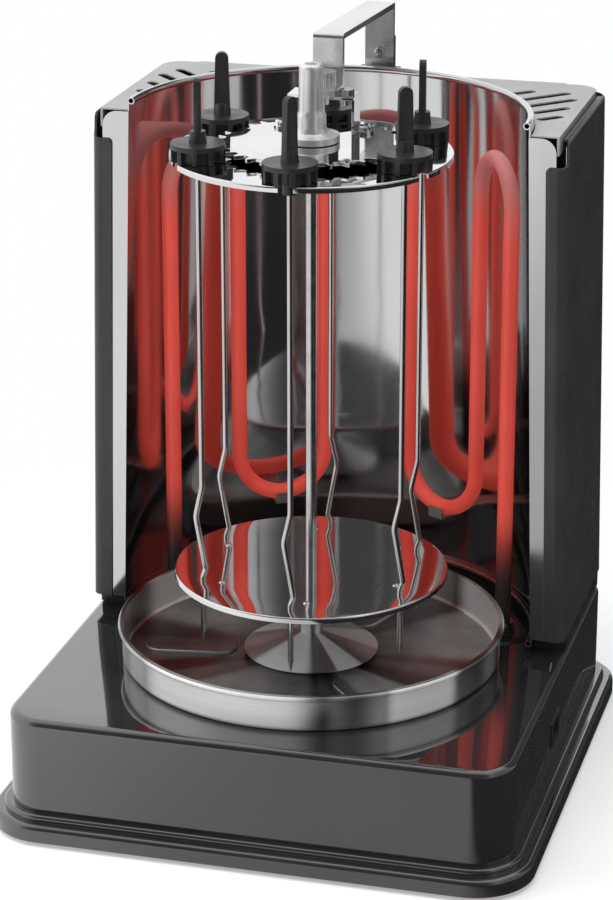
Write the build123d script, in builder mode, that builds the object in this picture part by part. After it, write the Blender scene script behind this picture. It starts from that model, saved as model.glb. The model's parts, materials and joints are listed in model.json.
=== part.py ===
from build123d import *
from math import cos, radians, sin, sqrt
import os

# Tabletop skewer grill: a glossy base, an upright half-round housing with one serpentine heater,
# and a motor-driven carousel whose skewers roll on a fixed toothed plate and so turn by themselves.
# Millimetres, +Z up, +Y to the rear, origin on the table under the middle of the plinth.

os.makedirs("parts", exist_ok=True)

# Fits
turning_gap = 0.06
press_gap = 0.02
curved_gap = 0.3
screw_gap = 0.05

# Base and plinth
foot_height = 2.5
foot_radius = 9.0
foot_inset = 24.0
base_height = 64.0
front_margin = 18.4
side_margin = 1.0
rear_margin = 2.9
body_corner_radius = 22.0
body_edge_radius = 4.0
base_wall = 3.0
plinth_overhang = 10.0
plinth_band_height = 9.0
plinth_edge_radius = 3.0
plinth_step_width = 4.5
plinth_step_height = 3.5
plinth_step_radius = 2.0
plinth_floor = 2.5
lip_wall = 2.0
lip_height = 4.0
post_inset = 26.0
post_radius = 5.0
vent_length = 36.0
vent_width = 4.0
vent_pitch = 12.0
vent_count = 5
vent_offset = 37.0

# Small screws
screw_radius = 1.6
screw_head_radius = 3.0
screw_head_height = 1.6
screw_length = 12.0

# Carousel axis and drive
motor_radius = 25.0
motor_height = 20.0
motor_boss_radius = 7.0
motor_boss_height = 2.5
ear_spacing = 60.0
ear_width = 11.0
ear_thickness = 1.2
motor_post_radius = 4.0
motor_post_length = 4.0
motor_shaft_radius = 3.0
motor_shaft_flat = 2.3
motor_bore_depth = 12.0
shaft_hole_radius = 4.5
coupler_lift = 1.0
coupler_flange_radius = 9.0
coupler_flange_height = 2.5
coupler_hex = 9.0
coupler_hex_height = 14.0
coupler_cap = 3.0
hex_gap = 0.15

# Drip tray
tray_margin = 28.6
tray_height = 20.4
tray_sheet = 0.8
tray_corner_radius = 3.0
tray_bead_radius = 1.5
collar_radius = 12.0
collar_height = 5.5
pad_cone_gap = 4.0
pad_rim_gap = 11.4
pad_width = 19.0
pad_height = 1.6
pad_edge_radius = 1.2
pad_count = 3
pad_first_angle = 70.0

# Spit
spit_radius = 3.0
sleeve_radius = 6.5
sleeve_lift = 0.5
cone_radius = 36.0
cone_height = 9.0
cone_sheet = 0.8
cone_lift = 3.5
disc_margin = 12.3
disc_sheet = 1.2
disc_lip = 3.0
disc_edge_radius = 1.0
lower_disc_height = 50.7
carrier_spacing = 227.2
hub_radius = 7.0
hub_height = 5.0
dimple_orbit = 52.7
dimple_lead = 7.5
dimple_radius = 2.2

# Skewers and their gears
skewer_count = 6
skewer_first_angle = 35.0
gear_module = 2.75
sun_teeth = 34
pinion_teeth = 10
sun_addendum = 2.2
sun_dedendum = 2.3
sun_tip_width = 1.3
sun_root_width = 4.6
sun_sheet = 2.0
sun_clearance = 3.0
pinion_addendum = 0.1
pinion_core_radius = 10.8
pinion_rib_width = 2.5
pinion_height = 6.6
cap_height = 2.6
neck_radius = 3.75
neck_length = 7.0
root_radius = 4.6
root_height = 6.0
root_taper = 6.0
blade_bottom_width = 8.4
blade_top_width = 6.8
blade_thickness = 3.5
blade_height = 32.8
blade_angles = (100.0, 15.0, 15.0, 105.0, 62.0, 30.0)
kink_angles = (20.0, 200.0, 15.0, 25.0, 10.0, 15.0)
rod_radius = 1.5
rod_seat_depth = 12.0
rod_tip_height = 15.5
rod_point_length = 6.0
rod_point_radius = 0.25
kink_offset = 1.5
kink_back = 3.5
kink_start_height = 52.0
kink_top_height = 36.0
kink_low_height = 6.3
kink_end_height = 1.8
kink_top_bend = 12.0
kink_bend = 2.2

# Top post and hold-down
post_flange_radius = 14.5
post_flange_height = 3.4
post_gap = 0.4
top_post_height = 39.5
post_hub_radius = 7.5
post_waist_height = 13.0
post_top_radius = 6.2
post_shoulder_width = 0.8
post_shoulder_rise = 1.2
post_hub_rise = 4.0
post_waist_step = 0.5
post_waist_rise = 2.5
post_rim = 1.1
post_dimple_radius = 3.2
post_dimple_depth = 2.5
post_bore_height = 15.0
bracket_inset = 21.75
bracket_half_width = 17.5
bracket_depth = 16.0
bracket_height = 19.3
bracket_sheet = 1.5
bracket_foot_reach = 9.0
bracket_foot_depth = 12.0
rivet_radius = 1.6
rivet_head_radius = 2.8
rivet_head_height = 1.2
thumb_radius = 6.4
thumb_height = 8.5
thumb_flutes = 20
thumb_flute_radius = 0.55
thumb_shank_radius = 2.4
thumb_shank_length = 9.0
bolt_gap = 5.0
bolt_offset = 3.5
bolt_hex = 7.0
bolt_head_height = 3.6
bolt_radius = 2.0
bolt_length = 5.0

# Support arm
arm_width = 16.0
arm_thickness = 3.0
arm_clearance = 8.3
arm_drop = 6.0
arm_leg_offset = 9.0
arm_foot_reach = 15.5
arm_bend_radius = 2.6
arm_tail = 48.0
arm_screw_pitch = 18.0
arm_screw_rise = 12.0
collar_margin = 3.0
arm_foot_height = 3.6
arm_foot_back = 2.6
arm_foot_upstand = 17.0

# Housing
axis_to_reflector = 28.0
reflector_gap = 17.0
reflector_lean = 8.0
reflector_sheet = 0.8
bead_radius = 1.9
bead_hole_radius = 1.3
bead_rise = 4.6
bead_bottom_height = 6.0
flange_width = 12.5
flange_corner_radius = 8.0
housing_foot_height = 9.0
housing_foot_setback = 11.0
housing_lean = 6.0
panel_rise = 5.1
panel_sheet = 1.2
bend_gap = 0.4
rear_space = 4.0
panel_strip_reach = 10.6
panel_front_bend = 5.0
panel_rear_bend = 12.0
panel_return = 22.0
panel_rim = 2.6
panel_edge_chamfer = 0.9
strip_drop = 13.0
strip_corner_radius = 2.5
notch_radius = 4.5
cover_sheet = 0.8
cover_lift = 2.2
cover_gap = 0.8
cover_corner_radius = 12.0
cover_lip = 7.0
cover_lip_sheet = 1.2
slot_count = 6
slot_first = -18.0
slot_pitch = 13.7
slot_width = 5.6
slot_bead_gap = 5.6
slot_side_gap = 12.5
slot_rear_gap = 23.0
rear_vent_rows = 5
rear_vent_columns = 3
rear_vent_pitch = 16.0
rear_vent_spread = 56.0
rear_screw_from_end = 40.0
rear_screw_inset = 4.0
rear_screw_depth = 7.0

# Heater
heater_radius = 4.25
heater_tray_gap = 7.2
heater_first_angle = 16.0
heater_legs = 6
heater_top_drop = 22.0
heater_bottom_height = 44.0
heater_end_depth = 16.0
terminal_radius = 1.4
terminal_length = 9.0
bushing_radius = 5.9
bushing_height = 4.5
bushing_depth = 8.0
bushing_flange_radius = 7.0
bushing_flange_height = 1.0
ring_height = 1.6
clip_width = 10.0
clip_sheet = 1.2
clip_hook = 5.0

# Switch and mains entry
switch_from_front = 122.7
switch_rise = 22.3
switch_length = 19.0
switch_height = 12.6
bezel_rim = 1.2
bezel_height = 0.7
switch_depth = 22.0
rocker_gap = 0.35
rocker_pivot_depth = 2.2
rocker_tilt = 9.0
rocker_rise = 1.8
rocker_back = 1.0
rocker_depth = 3.5
well_depth = 8.0
pin_radius = 0.9
pin_length = 0.8
gland_inset = 46.0
gland_rise = 15.0
gland_radius = 5.5
gland_flange_radius = 8.5
gland_flange_height = 3.0
gland_length = 12.0
gland_bore_radius = 3.4
block_side_inset = 64.0
block_rear_inset = 44.0
block_length = 34.0
block_width = 18.0
block_height = 15.0
block_ways = 3
block_pitch = 10.0
block_hole_radius = 2.0
block_hole_depth = 6.0
wire_radius = 1.2
wire_bend = 5.0
wire_standoff = 9.0
wire_drop = 12.0

# Levels worked out from the sizes above
plinth_floor_z = foot_height + plinth_floor
ledge_z = foot_height + plinth_band_height
shell_bottom_z = ledge_z + plinth_step_height
base_top_z = foot_height + base_height
base_under_z = base_top_z - base_wall
motor_top_z = base_under_z - motor_post_length
coupler_z = base_top_z + coupler_lift
hex_z = coupler_z + coupler_flange_height
hex_top_z = hex_z + coupler_hex_height
tray_floor_z = base_top_z + tray_sheet
tray_rim_z = base_top_z + tray_height
sleeve_z = hex_z + sleeve_lift
cone_z = base_top_z + cone_lift
lower_disc_z = base_top_z + lower_disc_height
sleeve_top_z = lower_disc_z - disc_sheet
carrier_z = lower_disc_z + carrier_spacing
pinion_z = carrier_z + curved_gap
cap_z = pinion_z + pinion_height
cap_top_z = cap_z + cap_height
sun_z = carrier_z + sun_clearance
sun_top_z = sun_z + sun_sheet
post_z = sun_top_z + post_gap
bracket_top_z = sun_top_z + bracket_height
arm_foot_top_z = bracket_top_z + arm_thickness
arm_top_z = cap_top_z + blade_height + arm_clearance + arm_thickness
arm_rear_top_z = arm_top_z - arm_drop
panel_z = base_top_z + housing_foot_height
panel_top_z = carrier_z + panel_rise
panel_height = panel_top_z - panel_z
strip_top_z = panel_top_z - strip_drop
cover_z = panel_top_z + cover_lift
cover_top_z = cover_z + cover_sheet
bead_z = base_top_z + bead_bottom_height
bead_top_z = cover_top_z + bead_rise
heater_top_z = cover_top_z - heater_top_drop
heater_bottom_z = base_top_z + heater_bottom_height
switch_z = shell_bottom_z + switch_rise
gland_z = shell_bottom_z + gland_rise

# Radii worked outwards: gears, discs, tray, heater, reflector
sun_radius = gear_module * sun_teeth / 2
pinion_radius = gear_module * pinion_teeth / 2
skewer_orbit = sun_radius + pinion_radius
pinion_tip_radius = pinion_radius + pinion_addendum
disc_radius = skewer_orbit + disc_margin
tray_radius = disc_radius + tray_margin
tray_outer = tray_radius - tray_sheet + 2 * tray_bead_radius
end_shift = axis_to_reflector * cos(radians(heater_first_angle))
end_rise = axis_to_reflector * sin(radians(heater_first_angle))
heater_orbit = sqrt((tray_radius + heater_tray_gap) ** 2 - end_shift**2) - end_rise
reflector_radius = heater_orbit + reflector_gap
reflector_outer = reflector_radius + reflector_sheet
reflector_top_radius = reflector_radius - reflector_lean
reflector_top_outer = reflector_top_radius + reflector_sheet

# Plan of the housing and the base, worked outwards from the reflector
panel_half = reflector_radius + flange_width + bend_gap + panel_front_bend
panel_top_half = panel_half - housing_lean
rear_half = panel_half - panel_return - curved_gap
rear_screw_x = rear_half - rear_screw_from_end
body_width = 2 * (panel_half + panel_sheet / 2 + side_margin)
reflector_to_rear = reflector_radius + rear_space + panel_sheet / 2 + rear_margin
body_depth = front_margin + tray_outer + axis_to_reflector + reflector_to_rear
axis_y = front_margin + tray_outer - body_depth / 2
reflector_y = axis_y + axis_to_reflector
panel_rear_y = reflector_y + reflector_radius + rear_space
plinth_width = body_width + 2 * plinth_overhang
plinth_depth = body_depth + 2 * plinth_overhang
plinth_corner_radius = body_corner_radius + plinth_overhang
flange_y = reflector_y - reflector_sheet
strip_y = flange_y - panel_sheet / 2
strip_x = panel_half - panel_strip_reach
rear_outer_y = panel_rear_y + panel_sheet / 2
rear_inner_y = panel_rear_y - panel_sheet / 2
housing_foot_front = reflector_y + housing_foot_setback

# Places of the smaller pieces
bracket_y = axis_y + sun_radius - bracket_inset
bolt_x = arm_width / 2 + bolt_gap
bolt_y = bracket_y - bolt_offset
arm_leg_y = bracket_y + arm_leg_offset
arm_rear_y = rear_inner_y - arm_thickness
pad_inner_radius = cone_radius + pad_cone_gap
pad_outer_radius = tray_radius - pad_rim_gap
vent_x = motor_radius + vent_offset
switch_y = switch_from_front - body_depth / 2
gland_x = body_width / 2 - gland_inset
block_x = body_width / 2 - block_side_inset
block_y = body_depth / 2 - block_rear_inset
carousel_plane = Plane.XZ.offset(-axis_y)
carousel_axis = Axis((0, axis_y, 0), (0, 0, 1))
reflector_plane = Plane.XZ.offset(-reflector_y)
reflector_axis = Axis((0, reflector_y, 0), (0, 0, 1))


def around(centre_y, radius, angle, z=0.0):
    """A point on a level circle about the upright line at (0, centre_y)."""
    return Vector(radius * cos(radians(angle)), centre_y + radius * sin(radians(angle)), z)


def upright_plane(point, angle):
    """A level plane at the point, its X turned by the angle."""
    return Plane(origin=point, x_dir=(cos(radians(angle)), sin(radians(angle)), 0), z_dir=(0, 0, 1))


def reflector_at(z):
    """The reflector's inner radius at a level; it narrows towards the top."""
    return reflector_radius - reflector_lean * (z - bead_z) / (bead_top_z - bead_z)


def lean_at(z):
    """How far the housing's sides have leaned inwards at a level."""
    return housing_lean * (z - panel_z) / panel_height


post_places = [
    (side * (body_width / 2 - post_inset), end * (body_depth / 2 - post_inset))
    for side in (-1, 1)
    for end in (-1, 1)
]
foot_places = [
    (side * (plinth_width / 2 - foot_inset), end * (plinth_depth / 2 - foot_inset))
    for side in (-1, 1)
    for end in (-1, 1)
]
motor_post_places = [(side * ear_spacing / 2, axis_y) for side in (-1, 1)]
leg_angles = [
    heater_first_angle + leg * (180 - 2 * heater_first_angle) / (heater_legs - 1)
    for leg in range(heater_legs)
]
bushing_points = [around(reflector_y, heater_orbit, angle) for angle in (leg_angles[0], leg_angles[-1])]
bushing_places = [(point.X, point.Y) for point in bushing_points]

inner_width = body_width - 2 * base_wall
inner_depth = body_depth - 2 * base_wall

# Base shell: an open-bottomed box with rounded corners, screw posts and the holes in its walls
with BuildPart() as base_shell:
    with BuildSketch(Plane.XY.offset(shell_bottom_z)):
        RectangleRounded(body_width, body_depth, body_corner_radius)
    extrude(amount=base_top_z - shell_bottom_z)
    fillet(base_shell.faces().sort_by(Axis.Z)[-1].edges(), body_edge_radius)
    with BuildSketch(Plane.XY.offset(shell_bottom_z)):
        RectangleRounded(inner_width, inner_depth, body_corner_radius - base_wall)
    extrude(amount=base_under_z - shell_bottom_z, mode=Mode.SUBTRACT)
    with BuildSketch(Plane.XY.offset(base_under_z)):
        with Locations(*post_places):
            Circle(post_radius)
    extrude(amount=plinth_floor_z - base_under_z)
    with BuildSketch(Plane.XY.offset(base_under_z)):
        with Locations(*motor_post_places):
            Circle(motor_post_radius)
    extrude(amount=-motor_post_length)
    with BuildSketch(Plane.XY.offset(plinth_floor_z)):
        with Locations(*post_places):
            Circle(screw_radius + screw_gap)
    extrude(amount=screw_length, mode=Mode.SUBTRACT)
    with BuildSketch(Plane.XY.offset(motor_top_z)):
        with Locations(*motor_post_places):
            Circle(screw_radius + screw_gap)
    extrude(amount=motor_post_length, mode=Mode.SUBTRACT)
    with BuildSketch(Plane.XY.offset(base_under_z)):
        with Locations((0, axis_y)):
            Circle(shaft_hole_radius)
        with Locations(*bushing_places):
            Circle(bushing_radius + curved_gap)
    extrude(amount=base_wall, mode=Mode.SUBTRACT)
    with BuildSketch(Plane.YZ.offset(body_width / 2 - base_wall)):
        with Locations((switch_y, switch_z)):
            Rectangle(switch_length, switch_height)
    extrude(amount=base_wall, mode=Mode.SUBTRACT)
    with BuildSketch(Plane.XZ.offset(-body_depth / 2)):
        with Locations((gland_x, gland_z)):
            Circle(gland_radius + press_gap)
    extrude(amount=base_wall, mode=Mode.SUBTRACT)
base_shell.part.label = "base_shell"
export_step(base_shell.part, "parts/base_shell.step")

# Plinth: the bottom pan, a moulded band round the foot of the base with a step and a locating lip
pan_width = body_width - 2 * (base_wall + curved_gap + lip_wall)
pan_depth = body_depth - 2 * (base_wall + curved_gap + lip_wall)
pan_corner_radius = body_corner_radius - base_wall - curved_gap - lip_wall
with BuildPart() as plinth:
    with BuildSketch(Plane.XY.offset(foot_height)):
        RectangleRounded(plinth_width, plinth_depth, plinth_corner_radius)
    extrude(amount=plinth_band_height)
    fillet(plinth.faces().sort_by(Axis.Z)[-1].edges(), plinth_edge_radius)
    with BuildSketch(Plane.XY.offset(ledge_z)):
        RectangleRounded(
            body_width + 2 * plinth_step_width,
            body_depth + 2 * plinth_step_width,
            body_corner_radius + plinth_step_width,
        )
    extrude(amount=plinth_step_height)
    fillet(plinth.faces().sort_by(Axis.Z)[-1].edges(), plinth_step_radius)
    with BuildSketch(Plane.XY.offset(shell_bottom_z)):
        RectangleRounded(pan_width + 2 * lip_wall, pan_depth + 2 * lip_wall, pan_corner_radius + lip_wall)
    extrude(amount=lip_height)
    with BuildSketch(Plane.XY.offset(plinth_floor_z)):
        RectangleRounded(pan_width, pan_depth, pan_corner_radius)
    extrude(amount=shell_bottom_z + lip_height - plinth_floor_z, mode=Mode.SUBTRACT)
    with BuildSketch(Plane.XY.offset(foot_height)):
        with Locations(*post_places):
            Circle(screw_radius + screw_gap)
        for side in (-1, 1):
            with Locations((side * vent_x, axis_y)):
                with GridLocations(0, vent_pitch, 1, vent_count):
                    SlotOverall(vent_length, vent_width)
    extrude(amount=plinth_floor, mode=Mode.SUBTRACT)
plinth.part.label = "plinth"
export_step(plinth.part, "parts/plinth.step")

# Four rubber feet under the plinth
with BuildPart() as rubber_feet:
    with BuildSketch(Plane.XY):
        with Locations(*foot_places):
            Circle(foot_radius)
    extrude(amount=foot_height)
rubber_feet.part.label = "rubber_feet"
export_step(rubber_feet.part, "parts/rubber_feet.step")

# Screws that hold the plinth to the posts, put in from below
with BuildPart() as plinth_screws:
    with BuildSketch(Plane.XY.offset(foot_height)):
        with Locations(*post_places):
            Circle(screw_head_radius)
    extrude(amount=-screw_head_height)
    with BuildSketch(Plane.XY.offset(foot_height)):
        with Locations(*post_places):
            Circle(screw_radius)
    extrude(amount=screw_length)
plinth_screws.part.label = "plinth_screws"
export_step(plinth_screws.part, "parts/plinth_screws.step")

# Geared motor hung under the top of the base by two ears
motor_bore_z = motor_top_z + motor_boss_height - motor_bore_depth
with BuildPart() as gear_motor:
    with BuildSketch(Plane.XY.offset(motor_top_z)):
        with Locations((0, axis_y)):
            Circle(motor_radius)
    extrude(amount=-motor_height)
    with BuildSketch(Plane.XY.offset(motor_top_z)):
        with Locations((0, axis_y)):
            SlotCenterToCenter(ear_spacing, ear_width)
    extrude(amount=-ear_thickness)
    with BuildSketch(Plane.XY.offset(motor_top_z)):
        with Locations((0, axis_y)):
            Circle(motor_boss_radius)
    extrude(amount=motor_boss_height)
    with BuildSketch(Plane.XY.offset(motor_bore_z)):
        with Locations((0, axis_y)):
            Circle(motor_shaft_radius + turning_gap)
    extrude(amount=motor_bore_depth, mode=Mode.SUBTRACT)
    with BuildSketch(Plane.XY.offset(motor_top_z)):
        with Locations(*motor_post_places):
            Circle(screw_radius + screw_gap)
    extrude(amount=-ear_thickness, mode=Mode.SUBTRACT)
gear_motor.part.label = "gear_motor"
export_step(gear_motor.part, "parts/gear_motor.step")

# Screws through the motor's ears into their posts
with BuildPart() as motor_screws:
    with BuildSketch(Plane.XY.offset(motor_top_z - ear_thickness)):
        with Locations(*motor_post_places):
            Circle(screw_head_radius)
    extrude(amount=-screw_head_height)
    with BuildSketch(Plane.XY.offset(motor_top_z - ear_thickness)):
        with Locations(*motor_post_places):
            Circle(screw_radius)
    extrude(amount=ear_thickness + motor_post_length)
motor_screws.part.label = "motor_screws"
export_step(motor_screws.part, "parts/motor_screws.step")

# Output shaft of the motor, flatted where it drives the coupler
shaft_end_z = hex_top_z - coupler_cap
with BuildPart() as motor_shaft:
    with BuildSketch(Plane.XY.offset(motor_bore_z)):
        with Locations((0, axis_y)):
            Circle(motor_shaft_radius)
    extrude(amount=shaft_end_z - motor_bore_z)
    with BuildSketch(Plane.XY.offset(coupler_z)):
        with Locations((motor_shaft_flat, axis_y)):
            Rectangle(motor_shaft_radius, 2 * motor_shaft_radius, align=(Align.MIN, Align.CENTER))
    extrude(amount=shaft_end_z - coupler_z, mode=Mode.SUBTRACT)
motor_shaft.part.label = "motor_shaft"
export_step(motor_shaft.part, "parts/motor_shaft.step")

# Drive coupler: a flanged hexagon on the motor's shaft that carries and turns the spit
with BuildPart() as drive_coupler:
    with BuildSketch(Plane.XY.offset(coupler_z)):
        with Locations((0, axis_y)):
            Circle(coupler_flange_radius)
    extrude(amount=coupler_flange_height)
    with BuildSketch(Plane.XY.offset(hex_z)):
        with Locations((0, axis_y)):
            RegularPolygon(coupler_hex / 2, 6, major_radius=False)
    extrude(amount=coupler_hex_height)
    with BuildSketch(Plane.XY.offset(coupler_z)):
        with Locations((0, axis_y)):
            Circle(motor_shaft_radius + press_gap)
        with Locations((motor_shaft_flat + press_gap, axis_y)):
            Rectangle(
                motor_shaft_radius,
                3 * motor_shaft_radius,
                align=(Align.MIN, Align.CENTER),
                mode=Mode.SUBTRACT,
            )
    extrude(amount=shaft_end_z - coupler_z, mode=Mode.SUBTRACT)
drive_coupler.part.label = "drive_coupler"
export_step(drive_coupler.part, "parts/drive_coupler.step")

# Drip tray: a shallow spun pan with a rolled rim, a raised collar and three pressed pads
tray_inner_radius = tray_radius - tray_sheet
inner_corner_radius = tray_corner_radius - tray_sheet
with BuildPart() as drip_tray:
    with BuildSketch(carousel_plane):
        with BuildLine():
            Polyline(
                (tray_radius - tray_corner_radius, base_top_z),
                (collar_radius, base_top_z),
                (collar_radius, base_top_z + collar_height),
                (collar_radius + tray_sheet, base_top_z + collar_height),
                (collar_radius + tray_sheet, tray_floor_z),
                (tray_radius - tray_corner_radius, tray_floor_z),
            )
            RadiusArc(
                (tray_radius - tray_corner_radius, tray_floor_z),
                (tray_inner_radius, base_top_z + tray_corner_radius),
                -inner_corner_radius,
            )
            Polyline(
                (tray_inner_radius, base_top_z + tray_corner_radius),
                (tray_inner_radius, tray_rim_z),
                (tray_radius, tray_rim_z),
                (tray_radius, base_top_z + tray_corner_radius),
            )
            RadiusArc(
                (tray_radius, base_top_z + tray_corner_radius),
                (tray_radius - tray_corner_radius, base_top_z),
                tray_corner_radius,
            )
        make_face()
        with Locations((tray_inner_radius + tray_bead_radius, tray_rim_z - tray_bead_radius)):
            Circle(tray_bead_radius)
    revolve(axis=carousel_axis)
    for pad in range(pad_count):
        pad_angle = pad_first_angle + pad * 360 / pad_count
        pad_centre = around(axis_y, (pad_inner_radius + pad_outer_radius) / 2, pad_angle, tray_floor_z)
        with BuildSketch(upright_plane(pad_centre, pad_angle)):
            SlotOverall(pad_outer_radius - pad_inner_radius, pad_width)
        extrude(amount=pad_height)
    flat_faces = drip_tray.faces().filter_by(GeomType.PLANE)
    pad_tops = flat_faces.filter_by(
        lambda face: abs(face.center().Z - tray_floor_z - pad_height) < press_gap
    )
    fillet(pad_tops.edges(), pad_edge_radius)
drip_tray.part.label = "drip_tray"
export_step(drip_tray.part, "parts/drip_tray.step")

# Lower sleeve of the spit: a tube with a hexagon socket that sits on the coupler
with BuildPart() as spit_sleeve:
    with BuildSketch(Plane.XY.offset(sleeve_z)):
        with Locations((0, axis_y)):
            Circle(sleeve_radius)
    extrude(amount=sleeve_top_z - sleeve_z)
    with BuildSketch(Plane.XY.offset(sleeve_z)):
        with Locations((0, axis_y)):
            RegularPolygon(coupler_hex / 2 + hex_gap, 6, major_radius=False)
    extrude(amount=hex_top_z - sleeve_z, mode=Mode.SUBTRACT)
    with BuildSketch(Plane.XY.offset(hex_top_z + coupler_cap)):
        with Locations((0, axis_y)):
            Circle(spit_radius + press_gap)
    extrude(amount=sleeve_top_z - hex_top_z - coupler_cap, mode=Mode.SUBTRACT)
spit_sleeve.part.label = "spit_sleeve"
export_step(spit_sleeve.part, "parts/spit_sleeve.step")

# Drip cone: a thin cone on the sleeve that sheds fat into the tray
cone_bore = sleeve_radius + press_gap
with BuildPart() as drip_cone:
    with BuildSketch(carousel_plane):
        with BuildLine():
            Polyline(
                (cone_radius, cone_z),
                (cone_radius, cone_z + cone_sheet),
                (cone_bore, cone_z + cone_height + cone_sheet),
                (cone_bore, cone_z + cone_height - cone_sheet),
                (cone_radius - cone_sheet, cone_z),
                close=True,
            )
        make_face()
    revolve(axis=carousel_axis)
drip_cone.part.label = "drip_cone"
export_step(drip_cone.part, "parts/drip_cone.step")

# Centre rod of the spit
spit_top_z = post_z + post_bore_height
with BuildPart() as spit_rod:
    with BuildSketch(Plane.XY.offset(hex_top_z + coupler_cap)):
        with Locations((0, axis_y)):
            Circle(spit_radius)
    extrude(amount=spit_top_z - hex_top_z - coupler_cap)
spit_rod.part.label = "spit_rod"
export_step(spit_rod.part, "parts/spit_rod.step")

skewer_angles = [skewer_first_angle + index * 360 / skewer_count for index in range(skewer_count)]
skewer_points = [around(axis_y, skewer_orbit, angle) for angle in skewer_angles]

# Lower disc: a lipped plate with a guide hole and a small pressed dimple for each skewer
with BuildPart() as lower_disc:
    with BuildSketch(Plane.XY.offset(lower_disc_z)):
        with Locations((0, axis_y)):
            Circle(disc_radius)
    extrude(amount=-disc_lip)
    fillet(lower_disc.faces().sort_by(Axis.Z)[-1].edges(), disc_edge_radius)
    with BuildSketch(Plane.XY.offset(lower_disc_z - disc_sheet)):
        with Locations((0, axis_y)):
            Circle(disc_radius - disc_sheet)
    extrude(amount=disc_sheet - disc_lip, mode=Mode.SUBTRACT)
    for angle in skewer_angles:
        with Locations(around(axis_y, dimple_orbit, angle + dimple_lead, lower_disc_z - disc_sheet)):
            Sphere(dimple_radius, arc_size1=0, align=(Align.CENTER, Align.CENTER, Align.MIN))
    with BuildSketch(Plane.XY.offset(lower_disc_z)):
        with Locations((0, axis_y)):
            Circle(spit_radius + press_gap)
        with Locations(*[(point.X, point.Y) for point in skewer_points]):
            Circle(rod_radius + turning_gap)
    extrude(amount=-disc_sheet, mode=Mode.SUBTRACT)
lower_disc.part.label = "lower_disc"
export_step(lower_disc.part, "parts/lower_disc.step")

# Hub under the carrier disc
with BuildPart() as carrier_hub:
    with BuildSketch(Plane.XY.offset(carrier_z - disc_sheet)):
        with Locations((0, axis_y)):
            Circle(hub_radius)
            Circle(spit_radius + press_gap, mode=Mode.SUBTRACT)
    extrude(amount=-hub_height)
carrier_hub.part.label = "carrier_hub"
export_step(carrier_hub.part, "parts/carrier_hub.step")

# Carrier disc: a lipped plate with an open notch for the neck of each skewer
with BuildPart() as carrier_disc:
    with BuildSketch(Plane.XY.offset(carrier_z)):
        with Locations((0, axis_y)):
            Circle(disc_radius)
    extrude(amount=-disc_lip)
    fillet(carrier_disc.faces().sort_by(Axis.Z)[-1].edges(), disc_edge_radius)
    with BuildSketch(Plane.XY.offset(carrier_z - disc_sheet)):
        with Locations((0, axis_y)):
            Circle(disc_radius - disc_sheet)
    extrude(amount=disc_sheet - disc_lip, mode=Mode.SUBTRACT)
    with BuildSketch(Plane.XY.offset(carrier_z)):
        with Locations((0, axis_y)):
            Circle(spit_radius + press_gap)
    extrude(amount=-disc_lip, mode=Mode.SUBTRACT)
    for angle in skewer_angles:
        with BuildSketch(upright_plane((0, axis_y, carrier_z), angle)):
            with Locations((skewer_orbit, 0)):
                Circle(neck_radius + turning_gap)
                Rectangle(
                    disc_radius,
                    2 * (neck_radius + turning_gap),
                    align=(Align.MIN, Align.CENTER),
                )
        extrude(amount=-disc_lip, mode=Mode.SUBTRACT)
carrier_disc.part.label = "carrier_disc"
export_step(carrier_disc.part, "parts/carrier_disc.step")

# Spacer bush that turns inside the fixed toothed plate
with BuildPart() as spacer_bush:
    with BuildSketch(Plane.XY.offset(carrier_z)):
        with Locations((0, axis_y)):
            Circle(hub_radius)
            Circle(spit_radius + press_gap, mode=Mode.SUBTRACT)
    extrude(amount=post_z - carrier_z)
spacer_bush.part.label = "spacer_bush"
export_step(spacer_bush.part, "parts/spacer_bush.step")

# Top post: a bottle-shaped metal knob on the rod, by which the carousel is lifted out
post_top_z = post_z + top_post_height
post_rim_z = post_top_z - post_rim
with BuildPart() as top_post:
    with BuildSketch(carousel_plane):
        with BuildLine():
            Polyline(
                (post_dimple_radius, post_top_z),
                (post_dimple_radius, post_top_z - post_dimple_depth),
                (0, post_top_z - post_dimple_depth),
                (0, post_z + post_bore_height),
                (spit_radius + press_gap, post_z + post_bore_height),
                (spit_radius + press_gap, post_z),
                (post_flange_radius, post_z),
                (post_flange_radius, post_z + post_flange_height),
                (post_hub_radius + post_shoulder_width, post_z + post_flange_height + post_shoulder_rise),
                (post_hub_radius, post_z + post_flange_height + post_hub_rise),
                (post_hub_radius, post_z + post_waist_height),
                (post_top_radius + post_waist_step, post_z + post_waist_height + post_waist_rise),
                (post_top_radius, post_rim_z),
                (post_top_radius - post_rim, post_top_z),
                close=True,
            )
        make_face()
    revolve(axis=carousel_axis)
top_post.part.label = "top_post"
export_step(top_post.part, "parts/top_post.step")


def tooth_outline(teeth, root_radius, tip_radius, root_width, tip_width):
    """Corners of a toothed plate: four for each tooth, the first tooth on the X axis."""
    corners = []
    for tooth in range(teeth):
        middle = tooth * 360 / teeth
        for radius, width in ((root_radius, -root_width), (tip_radius, -tip_width),
                              (tip_radius, tip_width), (root_radius, root_width)):
            angle = radians(middle) + width / 2 / radius
            corners.append((radius * cos(angle), radius * sin(angle)))
    return corners


rivet_places = [
    (side * (bracket_half_width + bracket_foot_reach / 2), bracket_y) for side in (-1, 1)
]

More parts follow.
